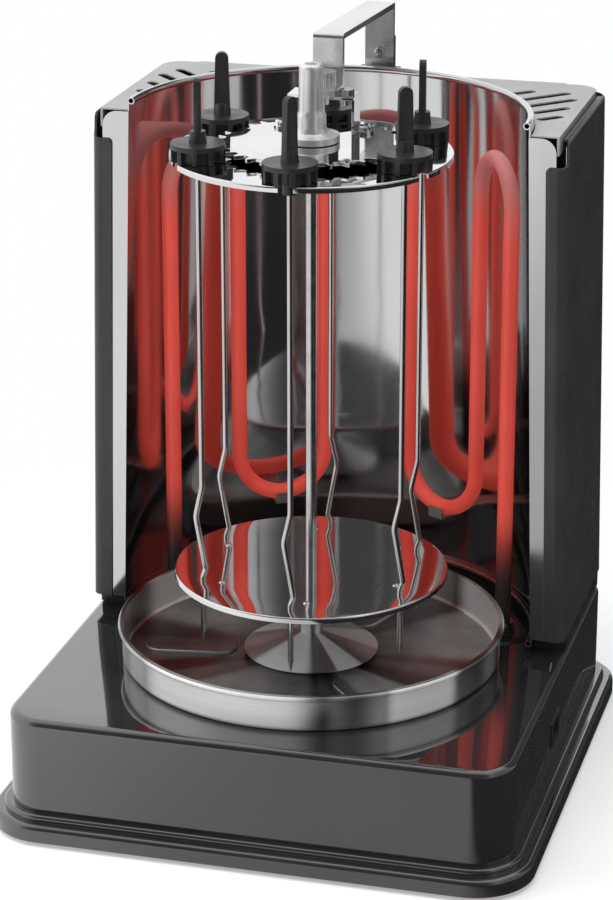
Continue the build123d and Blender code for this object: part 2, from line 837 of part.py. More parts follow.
# Sun gear: the fixed toothed plate on which the skewer pinions roll
with BuildPart() as sun_gear:
    with BuildSketch(Plane((0, axis_y, sun_z))):
        with BuildLine():
            Polyline(
                *tooth_outline(
                    sun_teeth,
                    sun_radius - sun_dedendum,
                    sun_radius + sun_addendum,
                    sun_root_width,
                    sun_tip_width,
                ),
                close=True,
            )
        make_face()
        Circle(hub_radius + turning_gap, mode=Mode.SUBTRACT)
        with Locations(*[(x, y - axis_y) for x, y in rivet_places]):
            Circle(rivet_radius + screw_gap, mode=Mode.SUBTRACT)
    extrude(amount=sun_sheet)
sun_gear.part.label = "sun_gear"
export_step(sun_gear.part, "parts/sun_gear.step")

# Hold-down bracket: a bent hat-shaped strap that keeps the toothed plate from turning
bracket_foot_end = bracket_half_width + bracket_foot_reach
thumb_hole_radius = thumb_shank_radius + turning_gap
with BuildPart() as hold_down_bracket:
    with BuildSketch(Plane.XY.offset(bracket_top_z)):
        with Locations((0, bracket_y)):
            Rectangle(2 * bracket_half_width, bracket_depth)
    extrude(amount=-bracket_sheet)
    with BuildSketch(Plane.XY.offset(sun_top_z)):
        for side in (-1, 1):
            with Locations((side * (bracket_half_width - bracket_sheet / 2), bracket_y)):
                Rectangle(bracket_sheet, bracket_foot_depth)
    extrude(amount=bracket_height - bracket_sheet)
    with BuildSketch(Plane.XY.offset(sun_top_z)):
        for side in (-1, 1):
            with Locations((side * (bracket_foot_end + bracket_half_width - bracket_sheet) / 2, bracket_y)):
                Rectangle(bracket_foot_reach + bracket_sheet, bracket_foot_depth)
    extrude(amount=bracket_sheet)
    foot_corners = hold_down_bracket.edges().filter_by(Axis.Z).group_by(Axis.X)
    fillet(foot_corners[0] + foot_corners[-1], bracket_foot_depth / 2 - bracket_sheet)
    with BuildSketch(Plane.XY.offset(bracket_top_z)):
        with Locations((0, bracket_y)):
            Circle(thumb_hole_radius)
        with Locations((bolt_x, bolt_y)):
            Circle(bolt_radius + screw_gap)
    extrude(amount=-bracket_sheet, mode=Mode.SUBTRACT)
    with BuildSketch(Plane.XY.offset(sun_top_z)):
        with Locations(*rivet_places):
            Circle(rivet_radius + screw_gap)
    extrude(amount=bracket_sheet, mode=Mode.SUBTRACT)
hold_down_bracket.part.label = "hold_down_bracket"
export_step(hold_down_bracket.part, "parts/hold_down_bracket.step")

# Rivets through the bracket's feet and the toothed plate
with BuildPart() as bracket_rivets:
    with BuildSketch(Plane.XY.offset(sun_z)):
        with Locations(*rivet_places):
            Circle(rivet_radius)
    extrude(amount=sun_sheet + bracket_sheet)
    with BuildSketch(Plane.XY.offset(sun_top_z + bracket_sheet)):
        with Locations(*rivet_places):
            Circle(rivet_head_radius)
    extrude(amount=rivet_head_height)
bracket_rivets.part.label = "bracket_rivets"
export_step(bracket_rivets.part, "parts/bracket_rivets.step")

# Hexagon bolt on the bracket's plate beside the arm
with BuildPart() as bracket_bolt:
    with BuildSketch(Plane.XY.offset(bracket_top_z)):
        with Locations((bolt_x, bolt_y)):
            RegularPolygon(bolt_hex / 2, 6, major_radius=False)
    extrude(amount=bolt_head_height)
    with BuildSketch(Plane.XY.offset(bracket_top_z)):
        with Locations((bolt_x, bolt_y)):
            Circle(bolt_radius)
    extrude(amount=-bolt_length)
bracket_bolt.part.label = "bracket_bolt"
export_step(bracket_bolt.part, "parts/bracket_bolt.step")

# Thumb screw: a knurled head that clamps the arm's foot to the bracket
with BuildPart() as thumb_screw:
    with BuildSketch(Plane.XY.offset(arm_foot_top_z)):
        with Locations((0, bracket_y)):
            Circle(thumb_radius)
            with PolarLocations(thumb_radius, thumb_flutes):
                Circle(thumb_flute_radius, mode=Mode.SUBTRACT)
    extrude(amount=thumb_height)
    with BuildSketch(Plane.XY.offset(arm_foot_top_z)):
        with Locations((0, bracket_y)):
            Circle(thumb_shank_radius)
    extrude(amount=-thumb_shank_length)
thumb_screw.part.label = "thumb_screw"
export_step(thumb_screw.part, "parts/thumb_screw.step")

# Support arm: a bent flat bar from the rear of the housing over the carousel to the bracket
arm_leg_rear = arm_leg_y + arm_thickness / 2
arm_leg_front = arm_leg_y - arm_thickness / 2
arm_tail_z = cover_top_z - arm_tail
arm_screw_places = [
    (0, cover_top_z - arm_screw_rise),
    (0, cover_top_z - arm_screw_rise - arm_screw_pitch),
]
arm_upper_screw = (0, cover_top_z + arm_screw_rise)
with BuildPart() as support_arm:
    with BuildSketch(Plane.YZ.offset(-arm_width / 2)) as arm_side:
        with BuildLine():
            Polyline(
                (arm_leg_rear - arm_foot_reach - arm_thickness, bracket_top_z),
                (arm_leg_rear, bracket_top_z),
                (arm_leg_rear, arm_top_z - arm_thickness),
                (arm_rear_y, arm_rear_top_z - arm_thickness),
                (arm_rear_y, arm_tail_z),
                (rear_inner_y, arm_tail_z),
                (rear_inner_y, arm_rear_top_z),
                (arm_leg_front, arm_top_z),
                (arm_leg_front, arm_foot_top_z),
                (arm_leg_rear - arm_foot_reach - arm_thickness, arm_foot_top_z),
                close=True,
            )
        make_face()
        fillet(
            arm_side.vertices().group_by(Axis.Y)[-1] + arm_side.vertices().sort_by(Axis.Z)[-1:],
            arm_bend_radius,
        )
    extrude(amount=arm_width)
    with BuildSketch(Plane.XY.offset(arm_foot_top_z)):
        with Locations((0, bracket_y)):
            Circle(thumb_hole_radius)
    extrude(amount=-arm_thickness, mode=Mode.SUBTRACT)
    with BuildSketch(Plane.XZ.offset(-arm_rear_y)):
        with Locations(*arm_screw_places, arm_upper_screw):
            Circle(screw_radius + screw_gap)
    extrude(amount=-arm_thickness, mode=Mode.SUBTRACT)
support_arm.part.label = "support_arm"
export_step(support_arm.part, "parts/support_arm.step")

# Arm foot: a moulded collar on the top cover, with an upstand behind the arm's rear leg
arm_foot_front = arm_rear_y - collar_margin / 2
arm_foot_rear = rear_inner_y + arm_foot_back
with BuildPart() as arm_foot:
    with BuildSketch(Plane.XY.offset(cover_top_z)):
        with Locations((0, (arm_foot_front + arm_foot_rear) / 2)):
            Rectangle(arm_width + 2 * collar_margin, arm_foot_rear - arm_foot_front)
    extrude(amount=arm_foot_height)
    with BuildSketch(Plane.XY.offset(cover_top_z)):
        with Locations((0, (rear_inner_y + arm_foot_rear) / 2)):
            Rectangle(arm_width, arm_foot_back)
    extrude(amount=arm_foot_height + arm_foot_upstand)
    with BuildSketch(Plane.XY.offset(cover_top_z)):
        with Locations((0, (arm_rear_y + rear_inner_y) / 2)):
            Rectangle(arm_width, arm_thickness)
    extrude(amount=arm_foot_height, mode=Mode.SUBTRACT)
    with BuildSketch(Plane.XZ.offset(-rear_inner_y)):
        with Locations(arm_upper_screw):
            Circle(screw_radius + screw_gap)
    extrude(amount=-arm_foot_back, mode=Mode.SUBTRACT)
arm_foot.part.label = "arm_foot"
export_step(arm_foot.part, "parts/arm_foot.step")

# Screws of the arm: one on its front face into the arm foot, two from behind through the rear panel
with BuildPart() as arm_screws:
    with BuildSketch(Plane.XZ.offset(-arm_rear_y)):
        with Locations(arm_upper_screw):
            Circle(screw_head_radius)
    extrude(amount=screw_head_height)
    with BuildSketch(Plane.XZ.offset(-arm_rear_y)):
        with Locations(arm_upper_screw):
            Circle(screw_radius)
    extrude(amount=-(arm_thickness + arm_foot_back))
    with BuildSketch(Plane.XZ.offset(-rear_outer_y)):
        with Locations(*arm_screw_places):
            Circle(screw_head_radius)
    extrude(amount=-screw_head_height)
    with BuildSketch(Plane.XZ.offset(-rear_outer_y)):
        with Locations(*arm_screw_places):
            Circle(screw_radius)
    extrude(amount=panel_sheet + arm_thickness)
arm_screws.part.label = "arm_screws"
export_step(arm_screws.part, "parts/arm_screws.step")

# Skewers: a bent round rod under a moulded head with pinion ribs, a cap and a flat handle
neck_z = pinion_z - neck_length
rod_top_z = neck_z + rod_seat_depth
rod_tip_z = base_top_z + rod_tip_height
for index, (angle, point) in enumerate(zip(skewer_angles, skewer_points)):
    number = index + 1
    tooth_pitch = 360 / sun_teeth
    tooth_offset = round(angle / tooth_pitch) * tooth_pitch - angle
    gap_angle = angle + 180 - tooth_offset * sun_teeth / pinion_teeth
    rib_plane = upright_plane((point.X, point.Y, pinion_z), gap_angle + 180 / pinion_teeth)
    blade_plane = upright_plane((point.X, point.Y, cap_top_z), blade_angles[index])
    with BuildPart() as skewer_head:
        with BuildSketch(rib_plane):
            Circle(pinion_core_radius)
            with PolarLocations(pinion_tip_radius / 2, pinion_teeth):
                Rectangle(pinion_tip_radius, pinion_rib_width)
            Circle(pinion_tip_radius, mode=Mode.INTERSECT)
        extrude(amount=pinion_height)
        with BuildSketch(Plane((point.X, point.Y, cap_z))):
            Circle(pinion_tip_radius)
        extrude(amount=cap_height)
        with BuildSketch(Plane((point.X, point.Y, pinion_z))):
            Circle(neck_radius)
        extrude(amount=-neck_length)
        with BuildSketch(Plane((point.X, point.Y, cap_top_z))):
            Circle(root_radius)
        extrude(amount=root_height, taper=root_taper)
        blade_side = Plane(origin=blade_plane.origin, x_dir=blade_plane.x_dir, z_dir=-blade_plane.y_dir)
        with BuildSketch(blade_side.offset(-blade_thickness / 2)):
            with BuildLine():
                Polyline(
                    (-blade_top_width / 2, blade_height - blade_top_width / 2),
                    (-blade_bottom_width / 2, 0),
                    (blade_bottom_width / 2, 0),
                    (blade_top_width / 2, blade_height - blade_top_width / 2),
                )
                ThreePointArc(
                    (blade_top_width / 2, blade_height - blade_top_width / 2),
                    (0, blade_height),
                    (-blade_top_width / 2, blade_height - blade_top_width / 2),
                )
            make_face()
        extrude(amount=blade_thickness)
        with BuildSketch(Plane((point.X, point.Y, neck_z))):
            Circle(rod_radius + press_gap)
        extrude(amount=rod_seat_depth, mode=Mode.SUBTRACT)
    skewer_head.part.label = f"skewer_head_{number}"
    export_step(skewer_head.part, f"parts/skewer_head_{number}.step")

    kink_angle = radians(kink_angles[index])
    kink = Vector(cos(kink_angle), sin(kink_angle), 0)
    kink_top = point - kink * kink_back
    kink_low = point + kink * kink_offset
    with BuildPart() as skewer_rod:
        with BuildLine():
            FilletPolyline(
                (point.X, point.Y, rod_top_z),
                (point.X, point.Y, lower_disc_z + kink_start_height),
                (kink_top.X, kink_top.Y, lower_disc_z + kink_top_height),
                (kink_low.X, kink_low.Y, lower_disc_z + kink_low_height),
                (point.X, point.Y, lower_disc_z + kink_end_height),
                (point.X, point.Y, rod_tip_z + rod_point_length),
                radius=[kink_top_bend, kink_top_bend, kink_bend, kink_bend],
            )
        with BuildSketch(Plane((point.X, point.Y, rod_top_z))):
            Circle(rod_radius)
        sweep()
        with BuildSketch(Plane((point.X, point.Y, rod_tip_z + rod_point_length))):
            Circle(rod_radius)
        with BuildSketch(Plane((point.X, point.Y, rod_tip_z))):
            Circle(rod_point_radius)
        loft()
    skewer_rod.part.label = f"skewer_rod_{number}"
    export_step(skewer_rod.part, f"parts/skewer_rod_{number}.step")

# Housing foot: a moulded frame on the base under the panels, open to the front
foot_screw_places = [(end * rear_screw_x, panel_z - rear_screw_inset) for end in (-1, 1)]
with BuildPart() as housing_foot:
    with BuildSketch(Plane.XY.offset(base_top_z)) as foot_plan:
        with BuildLine():
            Polyline(
                (-panel_half, housing_foot_front),
                (panel_half, housing_foot_front),
                (panel_half, rear_inner_y),
                (-panel_half, rear_inner_y),
                close=True,
            )
        make_face()
        fillet(foot_plan.vertices().group_by(Axis.Y)[-1], panel_rear_bend)
        with Locations((0, reflector_y)):
            Circle(reflector_outer + curved_gap, mode=Mode.SUBTRACT)
    extrude(amount=housing_foot_height)
    with BuildSketch(Plane.XZ.offset(-rear_inner_y)):
        with Locations(*foot_screw_places):
            Circle(screw_radius + screw_gap)
    extrude(amount=rear_screw_depth, mode=Mode.SUBTRACT)
housing_foot.part.label = "housing_foot"
export_step(housing_foot.part, "parts/housing_foot.step")

# Reflector: a half-round polished sheet, narrower at the top, with front flanges and hollow rolled beads
flange_top_z = cover_z - curved_gap
with BuildPart() as reflector:
    with BuildSketch(reflector_plane):
        with BuildLine():
            Polyline(
                (reflector_radius, bead_z),
                (reflector_outer, bead_z),
                (reflector_top_outer, bead_top_z),
                (reflector_top_radius, bead_top_z),
                close=True,
            )
        make_face()
        for radius, level in ((reflector_outer, bead_z), (reflector_top_outer, bead_top_z)):
            with Locations((radius - bead_radius, level)):
                Circle(bead_radius)
                Circle(bead_hole_radius, mode=Mode.SUBTRACT)
    revolve(axis=reflector_axis, revolution_arc=180)
    for side in (-1, 1):
        with BuildSketch(Plane.XZ.offset(-flange_y)) as flange_face:
            with BuildLine():
                Polyline(
                    (side * reflector_at(panel_z), panel_z),
                    (side * (reflector_radius + flange_width), panel_z),
                    (side * (reflector_radius + flange_width - lean_at(flange_top_z)), flange_top_z),
                    (side * reflector_at(flange_top_z), flange_top_z),
                    close=True,
                )
            make_face()
            outer_first = flange_face.vertices().sort_by(Axis((0, 0, 0), (side, 0, 0)))[-2:]
            fillet(outer_first.sort_by(Axis.Y)[-1], flange_corner_radius)
        extrude(amount=-reflector_sheet)
reflector.part.label = "reflector"
export_step(reflector.part, "parts/reflector.step")

lip_screw_z = panel_top_z - rear_screw_inset
return_screw_x = panel_top_half - panel_rear_bend - 2 * screw_head_radius

# Side panels: leaning sheets bent to a front strip, a return at the rear and a narrow rim at the top
notch_rear = strip_y + panel_front_bend
notch_corner = notch_radius * (1 - cos(radians(45)))
rim_front = notch_rear + notch_radius
rim_rear = panel_rear_y - panel_rear_bend
rim_width = panel_rim + panel_sheet / 2
for side, name in ((-1, "left_panel"), (1, "right_panel")):
    with BuildPart() as side_panel:
        with BuildSketch(Plane.XY.offset(panel_z)):
            with BuildLine():
                panel_line = FilletPolyline(
                    (side * strip_x, strip_y),
                    (side * panel_half, strip_y),
                    (side * panel_half, panel_rear_y),
                    (side * (panel_half - panel_return), panel_rear_y),
                    radius=[panel_front_bend, panel_rear_bend],
                )
            trace(panel_line, panel_sheet)
        extrude(amount=sqrt(panel_height**2 + housing_lean**2), dir=(-side * housing_lean, 0, panel_height))
        top_edges = side_panel.faces().sort_by(Axis.Z)[-1].edges().filter_by(GeomType.LINE)
        long_edges = top_edges.sort_by(SortBy.LENGTH)[-2:]
        chamfer(long_edges.sort_by(Axis((0, 0, 0), (side, 0, 0)))[-1], panel_edge_chamfer)
        with BuildSketch(Plane.XY.offset(panel_top_z)):
            with Locations((side * (panel_top_half - rim_width / 2), (rim_front + rim_rear) / 2)):
                Rectangle(rim_width, rim_rear - rim_front)
        extrude(amount=-panel_sheet)
        with BuildSketch(Plane.YZ.offset(side * (panel_half + panel_sheet))):
            with BuildLine():
                Line((strip_y - panel_sheet, strip_top_z), (notch_rear - notch_radius, strip_top_z))
                ThreePointArc(
                    (notch_rear - notch_radius, strip_top_z),
                    (notch_rear - notch_corner, strip_top_z + notch_corner),
                    (notch_rear, strip_top_z + notch_radius),
                )
                Line((notch_rear, strip_top_z + notch_radius), (notch_rear, panel_top_z - notch_radius))
                ThreePointArc(
                    (notch_rear, panel_top_z - notch_radius),
                    (notch_rear + notch_corner, panel_top_z - notch_corner),
                    (rim_front, panel_top_z),
                )
                Polyline(
                    (rim_front, panel_top_z),
                    (strip_y - panel_sheet, panel_top_z),
                    (strip_y - panel_sheet, strip_top_z),
                )
            make_face()
        extrude(amount=-side * (panel_strip_reach + housing_lean + 2 * panel_sheet), mode=Mode.SUBTRACT)
        strip_top = side_panel.faces().filter_by(Axis.Z).group_by(Axis.Y)[0].sort_by(Axis.Z)[-1]
        strip_ends = strip_top.edges().filter_by(Axis.Y)
        fillet(strip_ends.sort_by(Axis((0, 0, 0), (side, 0, 0)))[0], strip_corner_radius)
        with BuildSketch(Plane.XZ.offset(-rear_outer_y)):
            with Locations((side * return_screw_x, lip_screw_z)):
                Circle(screw_radius + screw_gap)
        extrude(amount=panel_sheet, mode=Mode.SUBTRACT)
    side_panel.part.label = name
    export_step(side_panel.part, f"parts/{name}.step")

# Rear panel with rows of vent slots, set between the returns of the side panels
rear_panel_z = base_top_z + curved_gap
lip_screw_places = [(end * rear_screw_x, lip_screw_z) for end in (-1, 1)]
return_screw_places = [(end * return_screw_x, lip_screw_z) for end in (-1, 1)]
with BuildPart() as rear_panel:
    with BuildSketch(Plane.XZ.offset(-rear_outer_y)):
        with BuildLine():
            Polyline(
                (-rear_half, rear_panel_z),
                (rear_half, rear_panel_z),
                (rear_half - lean_at(cover_z), cover_z),
                (lean_at(cover_z) - rear_half, cover_z),
                close=True,
            )
        make_face()
        with Locations((0, (panel_z + panel_top_z) / 2)):
            with GridLocations(rear_vent_spread, rear_vent_pitch, rear_vent_columns, rear_vent_rows):
                SlotOverall(vent_length, vent_width, mode=Mode.SUBTRACT)
        with Locations(*arm_screw_places, *lip_screw_places, *foot_screw_places):
            Circle(screw_radius + screw_gap, mode=Mode.SUBTRACT)
    extrude(amount=panel_sheet)
rear_panel.part.label = "rear_panel"
export_step(rear_panel.part, "parts/rear_panel.step")

# Top cover: a lipped sheet round the reflector, with slanting slots that let the heat out
cover_half = panel_top_half - panel_sheet / 2 - panel_rim - cover_gap
cover_rear_y = rear_inner_y - cover_gap
cover_corners = (
    (-cover_half, reflector_y),
    (cover_half, reflector_y),
    (cover_half, cover_rear_y),
    (-cover_half, cover_rear_y),
)
slot_inner_radius = reflector_at(cover_z) + slot_bead_gap
slot_side_limit = panel_top_half - slot_side_gap
slot_rear_limit = rear_inner_y - slot_rear_gap
with BuildPart() as top_cover:
    with BuildSketch(Plane.XY.offset(cover_z)) as cover_plan:
        with BuildLine():
            Polyline(*cover_corners, close=True)
        make_face()
        fillet(cover_plan.vertices().group_by(Axis.Y)[-1], cover_corner_radius)
        with Locations((0, cover_rear_y)):
            Rectangle(2 * (rear_half - lean_at(cover_z)), 2 * (rear_outer_y - cover_rear_y))
        with Locations((0, reflector_y)):
            Circle(reflector_at(cover_z) + reflector_sheet + curved_gap, mode=Mode.SUBTRACT)
        for side in (-1, 1):
            for slot in range(slot_count):
                across = slot_first + slot * slot_pitch
                start = sqrt(slot_inner_radius**2 - across**2)
                end = min(
                    slot_side_limit * sqrt(2) - across,
                    (slot_rear_limit - reflector_y) * sqrt(2) + across,
                )
                slot_x = ((start + end) / 2 + across) / sqrt(2)
                slot_y = ((start + end) / 2 - across) / sqrt(2)
                with Locations((side * slot_x, reflector_y + slot_y)):
                    SlotCenterToCenter(
                        max(end - start, slot_width), slot_width, rotation=side * 45, mode=Mode.SUBTRACT
                    )
    extrude(amount=cover_sheet)
    with BuildSketch(Plane.XY.offset(cover_z)) as lip_plan:
        with BuildLine():
            Polyline(*cover_corners, close=True)
        make_face()
        fillet(lip_plan.vertices().group_by(Axis.Y)[-1], cover_corner_radius)
        offset(amount=-cover_lip_sheet, mode=Mode.SUBTRACT)
        with Locations((0, reflector_y)):
            Rectangle(2 * (cover_half - cover_lip_sheet), 2 * cover_lip_sheet, mode=Mode.SUBTRACT)
            Circle(reflector_outer + curved_gap, mode=Mode.SUBTRACT)
    extrude(amount=-(cover_lift + cover_lip))
    with BuildSketch(Plane.XY.offset(cover_top_z)):
        with Locations((0, (arm_rear_y + rear_inner_y) / 2)):
            Rectangle(arm_width + 2 * curved_gap, arm_thickness + 2 * curved_gap)
    extrude(amount=-(cover_sheet + cover_lift + cover_lip), mode=Mode.SUBTRACT)
    with BuildSketch(Plane.XZ.offset(-cover_rear_y)):
        with Locations(*lip_screw_places, *return_screw_places):
            Circle(screw_radius + screw_gap)
    extrude(amount=cover_lip_sheet, mode=Mode.SUBTRACT)
top_cover.part.label = "top_cover"
export_step(top_cover.part, "parts/top_cover.step")

# Screws on the rear of the housing: into the cover's lip and into the housing foot
with BuildPart() as rear_screws:
    with BuildSketch(Plane.XZ.offset(-rear_outer_y)):
        with Locations(*lip_screw_places, *return_screw_places, *foot_screw_places):
            Circle(screw_head_radius)
    extrude(amount=-screw_head_height)
    with BuildSketch(Plane.XZ.offset(-rear_outer_y)):
        with Locations(*lip_screw_places, *return_screw_places, *foot_screw_places):
            Circle(screw_radius)
    extrude(amount=panel_sheet + cover_gap + cover_lip_sheet)
rear_screws.part.label = "rear_screws"
export_step(rear_screws.part, "parts/rear_screws.step")

# Heating element: one tube bent into upright legs joined by half-round bends
heater_end_z = base_top_z - heater_end_depth
leg_points = [around(reflector_y, heater_orbit, angle) for angle in leg_angles]
bend_radius = (leg_points[1] - leg_points[0]).length / 2
upper_level = heater_top_z - heater_radius - bend_radius
lower_level = heater_bottom_z + heater_radius + bend_radius
with BuildPart() as heating_element:
    with BuildLine():
        level = heater_end_z
        for leg in range(heater_legs - 1):
            here = leg_points[leg]
            there = leg_points[leg + 1]
            rising = leg % 2 == 0
            bend_level = upper_level if rising else lower_level
            peak = bend_level + bend_radius if rising else bend_level - bend_radius
            middle = (here + there) / 2
            Line((here.X, here.Y, level), (here.X, here.Y, bend_level))
            ThreePointArc(
                (here.X, here.Y, bend_level), (middle.X, middle.Y, peak), (there.X, there.Y, bend_level)
            )
            level = bend_level
        last = leg_points[-1]
        Line((last.X, last.Y, level), (last.X, last.Y, heater_end_z))
    with BuildSketch(Plane((leg_points[0].X, leg_points[0].Y, heater_end_z))):
        Circle(heater_radius)
    sweep()
    with BuildSketch(Plane.XY.offset(heater_end_z)):
        with Locations(*bushing_places):
            Circle(terminal_radius)
    extrude(amount=-terminal_length)
heating_element.part.label = "heating_element"
export_step(heating_element.part, "parts/heating_element.step")

# Insulating bushings that bring the heater's ends through the top of the base
ring_z = base_top_z + bushing_height
with BuildPart() as heater_bushings:
    with BuildSketch(Plane.XY.offset(base_top_z - bushing_depth)):
        with Locations(*bushing_places):
            Circle(bushing_radius)
    extrude(amount=bushing_depth + bushing_height)
    with BuildSketch(Plane.XY.offset(base_top_z)):
        with Locations(*bushing_places):
            Circle(bushing_flange_radius)
    extrude(amount=bushing_flange_height)
    with BuildSketch(Plane.XY.offset(base_top_z - bushing_depth)):
        with Locations(*bushing_places):
            Circle(heater_radius + press_gap)
    extrude(amount=bushing_depth + bushing_height, mode=Mode.SUBTRACT)
heater_bushings.part.label = "heater_bushings"
export_step(heater_bushings.part, "parts/heater_bushings.step")

# Metal rings on top of the bushings
with BuildPart() as bushing_rings:
    with BuildSketch(Plane.XY.offset(ring_z)):
        with Locations(*bushing_places):
            Circle(bushing_radius)
            Circle(heater_radius + press_gap, mode=Mode.SUBTRACT)
    extrude(amount=ring_height)
bushing_rings.part.label = "bushing_rings"
export_step(bushing_rings.part, "parts/bushing_rings.step")

# Clips on the reflector that hold up the lower bends of the heater
clip_z = heater_bottom_z - screw_gap
clip_inner = heater_orbit * cos(radians((leg_angles[1] - leg_angles[0]) / 2)) - heater_radius - curved_gap
clip_angles = [(leg_angles[leg] + leg_angles[leg + 1]) / 2 for leg in range(1, heater_legs - 1, 2)]
with BuildPart() as heater_clips:
    for angle in clip_angles:
        with BuildSketch(upright_plane((0, reflector_y, clip_z), angle)):
            with Locations((clip_inner - clip_sheet, 0)):
                Rectangle(reflector_radius, clip_width, align=(Align.MIN, Align.CENTER))
            Circle(reflector_at(clip_z) - press_gap, mode=Mode.INTERSECT)
        extrude(amount=-clip_sheet)
        with BuildSketch(upright_plane((0, reflector_y, clip_z), angle)):
            with Locations((clip_inner - clip_sheet, 0)):
                Rectangle(clip_sheet, clip_width, align=(Align.MIN, Align.CENTER))
        extrude(amount=clip_hook)
heater_clips.part.label = "heater_clips"
export_step(heater_clips.part, "parts/heater_clips.step")

# Switch housing: a bezel on the right wall of the base and the contact box behind it
switch_face = Plane.YZ.offset(body_width / 2)
well_length = switch_length - 2 * bezel_rim
well_height = switch_height - 2 * bezel_rim
rocker_x = body_width / 2 - rocker_pivot_depth
with BuildPart() as switch_housing:
    with BuildSketch(switch_face):
        with Locations((switch_y, switch_z)):
            RectangleRounded(switch_length + 2 * bezel_rim, switch_height + 2 * bezel_rim, bezel_rim)
    extrude(amount=bezel_height)
    with BuildSketch(switch_face):
        with Locations((switch_y, switch_z)):
            Rectangle(switch_length - 2 * press_gap, switch_height - 2 * press_gap)
    extrude(amount=-switch_depth)
    with BuildSketch(switch_face.offset(bezel_height)):
        with Locations((switch_y, switch_z)):
            Rectangle(well_length, well_height)
    extrude(amount=-(bezel_height + well_depth), mode=Mode.SUBTRACT)
    with BuildSketch(Plane((rocker_x, switch_y, switch_z - well_height / 2 - pin_length))):
        Circle(pin_radius + turning_gap)
    extrude(amount=well_height + 2 * pin_length, mode=Mode.SUBTRACT)
switch_housing.part.label = "switch_housing"
export_step(switch_housing.part, "parts/switch_housing.step")

# Rocker: a shallow V that tips about two upright pins
rocker_half = well_length / 2 - rocker_gap
rocker_height = well_height - 2 * rocker_gap
pin_reach = rocker_height + 2 * (rocker_gap + pin_length - turning_gap)
with BuildPart() as rocker:
    with BuildSketch(upright_plane((rocker_x, switch_y, switch_z - rocker_height / 2), rocker_tilt)):
        with BuildLine():
            Polyline(
                (rocker_rise, -rocker_half),
                (rocker_rise - rocker_half * sin(radians(rocker_tilt)), 0),
                (rocker_rise, rocker_half),
                (-rocker_back, rocker_half),
                (-rocker_depth, 0),
                (-rocker_back, -rocker_half),
                close=True,
            )
        make_face()
    extrude(amount=rocker_height)
    with BuildSketch(Plane((rocker_x, switch_y, switch_z - pin_reach / 2))):
        Circle(pin_radius)
    extrude(amount=pin_reach)
rocker.part.label = "rocker"
export_step(rocker.part, "parts/rocker.step")

# Cable gland in the rear wall of the base
gland_face = Plane.XZ.offset(-body_depth / 2)
with BuildPart() as cable_gland:
    with BuildSketch(gland_face):
        with Locations((gland_x, gland_z)):
            Circle(gland_flange_radius)
    extrude(amount=-gland_flange_height)
    with BuildSketch(gland_face):
        with Locations((gland_x, gland_z)):
            Circle(gland_radius)
    extrude(amount=gland_length)
    with BuildSketch(gland_face.offset(base_wall)):
        with Locations((gland_x, gland_z)):
            Circle(gland_flange_radius)
    extrude(amount=gland_flange_height)
    with BuildSketch(gland_face.offset(-gland_flange_height)):
        with Locations((gland_x, gland_z)):
            Circle(gland_bore_radius)
    extrude(amount=gland_length + gland_flange_height, mode=Mode.SUBTRACT)
cable_gland.part.label = "cable_gland"
export_step(cable_gland.part, "parts/cable_gland.step")

# Terminal block on the floor of the plinth
with BuildPart() as terminal_block:
    with BuildSketch(Plane.XY.offset(plinth_floor_z)):
        with Locations((block_x, block_y)):
            Rectangle(block_length, block_width)
    extrude(amount=block_height)
    with BuildSketch(Plane.XY.offset(plinth_floor_z + block_height)):
        with Locations((block_x, block_y)):
            with GridLocations(block_pitch, 0, block_ways, 1):
                Circle(block_hole_radius)
    extrude(amount=-block_hole_depth, mode=Mode.SUBTRACT)
terminal_block.part.label = "terminal_block"
export_step(terminal_block.part, "parts/terminal_block.step")

# Wiring in the base, from the terminal block to the heater's ends, the motor and the switch
block_middle_z = plinth_floor_z + block_height / 2
block_front_y = block_y - block_width / 2
block_right_x = block_x + block_length / 2
way_x = [block_x + (way - (block_ways - 1) / 2) * block_pitch for way in range(block_ways)]
motor_side_y = axis_y + motor_radius + curved_gap
motor_wire_z = motor_top_z - motor_height / 2
switch_back_x = body_width / 2 - switch_depth
terminal_z = heater_end_z - terminal_length


def heater_wire(way, end):
    """Corners of a wire from one way of the block up to one end of the heater."""
    return (
        (way, block_front_y, block_middle_z),
        (way, block_front_y - wire_standoff, block_middle_z),
        (end.X, end.Y, terminal_z - wire_drop),
        (end.X, end.Y, terminal_z),
    )


wire_routes = (
    heater_wire(way_x[2], bushing_points[0]),
    heater_wire(way_x[0], bushing_points[1]),
    (
        (way_x[1], block_front_y, block_middle_z),
        (way_x[1], block_front_y - wire_standoff, block_middle_z),
        (0, motor_side_y + wire_standoff, motor_wire_z),
        (0, motor_side_y, motor_wire_z),
    ),
    (
        (block_right_x, block_y, block_middle_z),
        (block_right_x + wire_standoff, block_y, block_middle_z),
        (switch_back_x - wire_standoff, switch_y, switch_z),
        (switch_back_x, switch_y, switch_z),
    ),
)
with BuildPart() as wiring:
    for route in wire_routes:
        with BuildLine() as wire_line:
            FilletPolyline(*route, radius=wire_bend)
        with BuildSketch(Plane(origin=route[0], z_dir=wire_line.line % 0)):
            Circle(wire_radius)
        sweep()
wiring.part.label = "wiring"
export_step(wiring.part, "parts/wiring.step")
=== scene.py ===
import json
from math import atan2, cos, pi, radians, sin

import bmesh
import bpy
from mathutils import Matrix, Vector

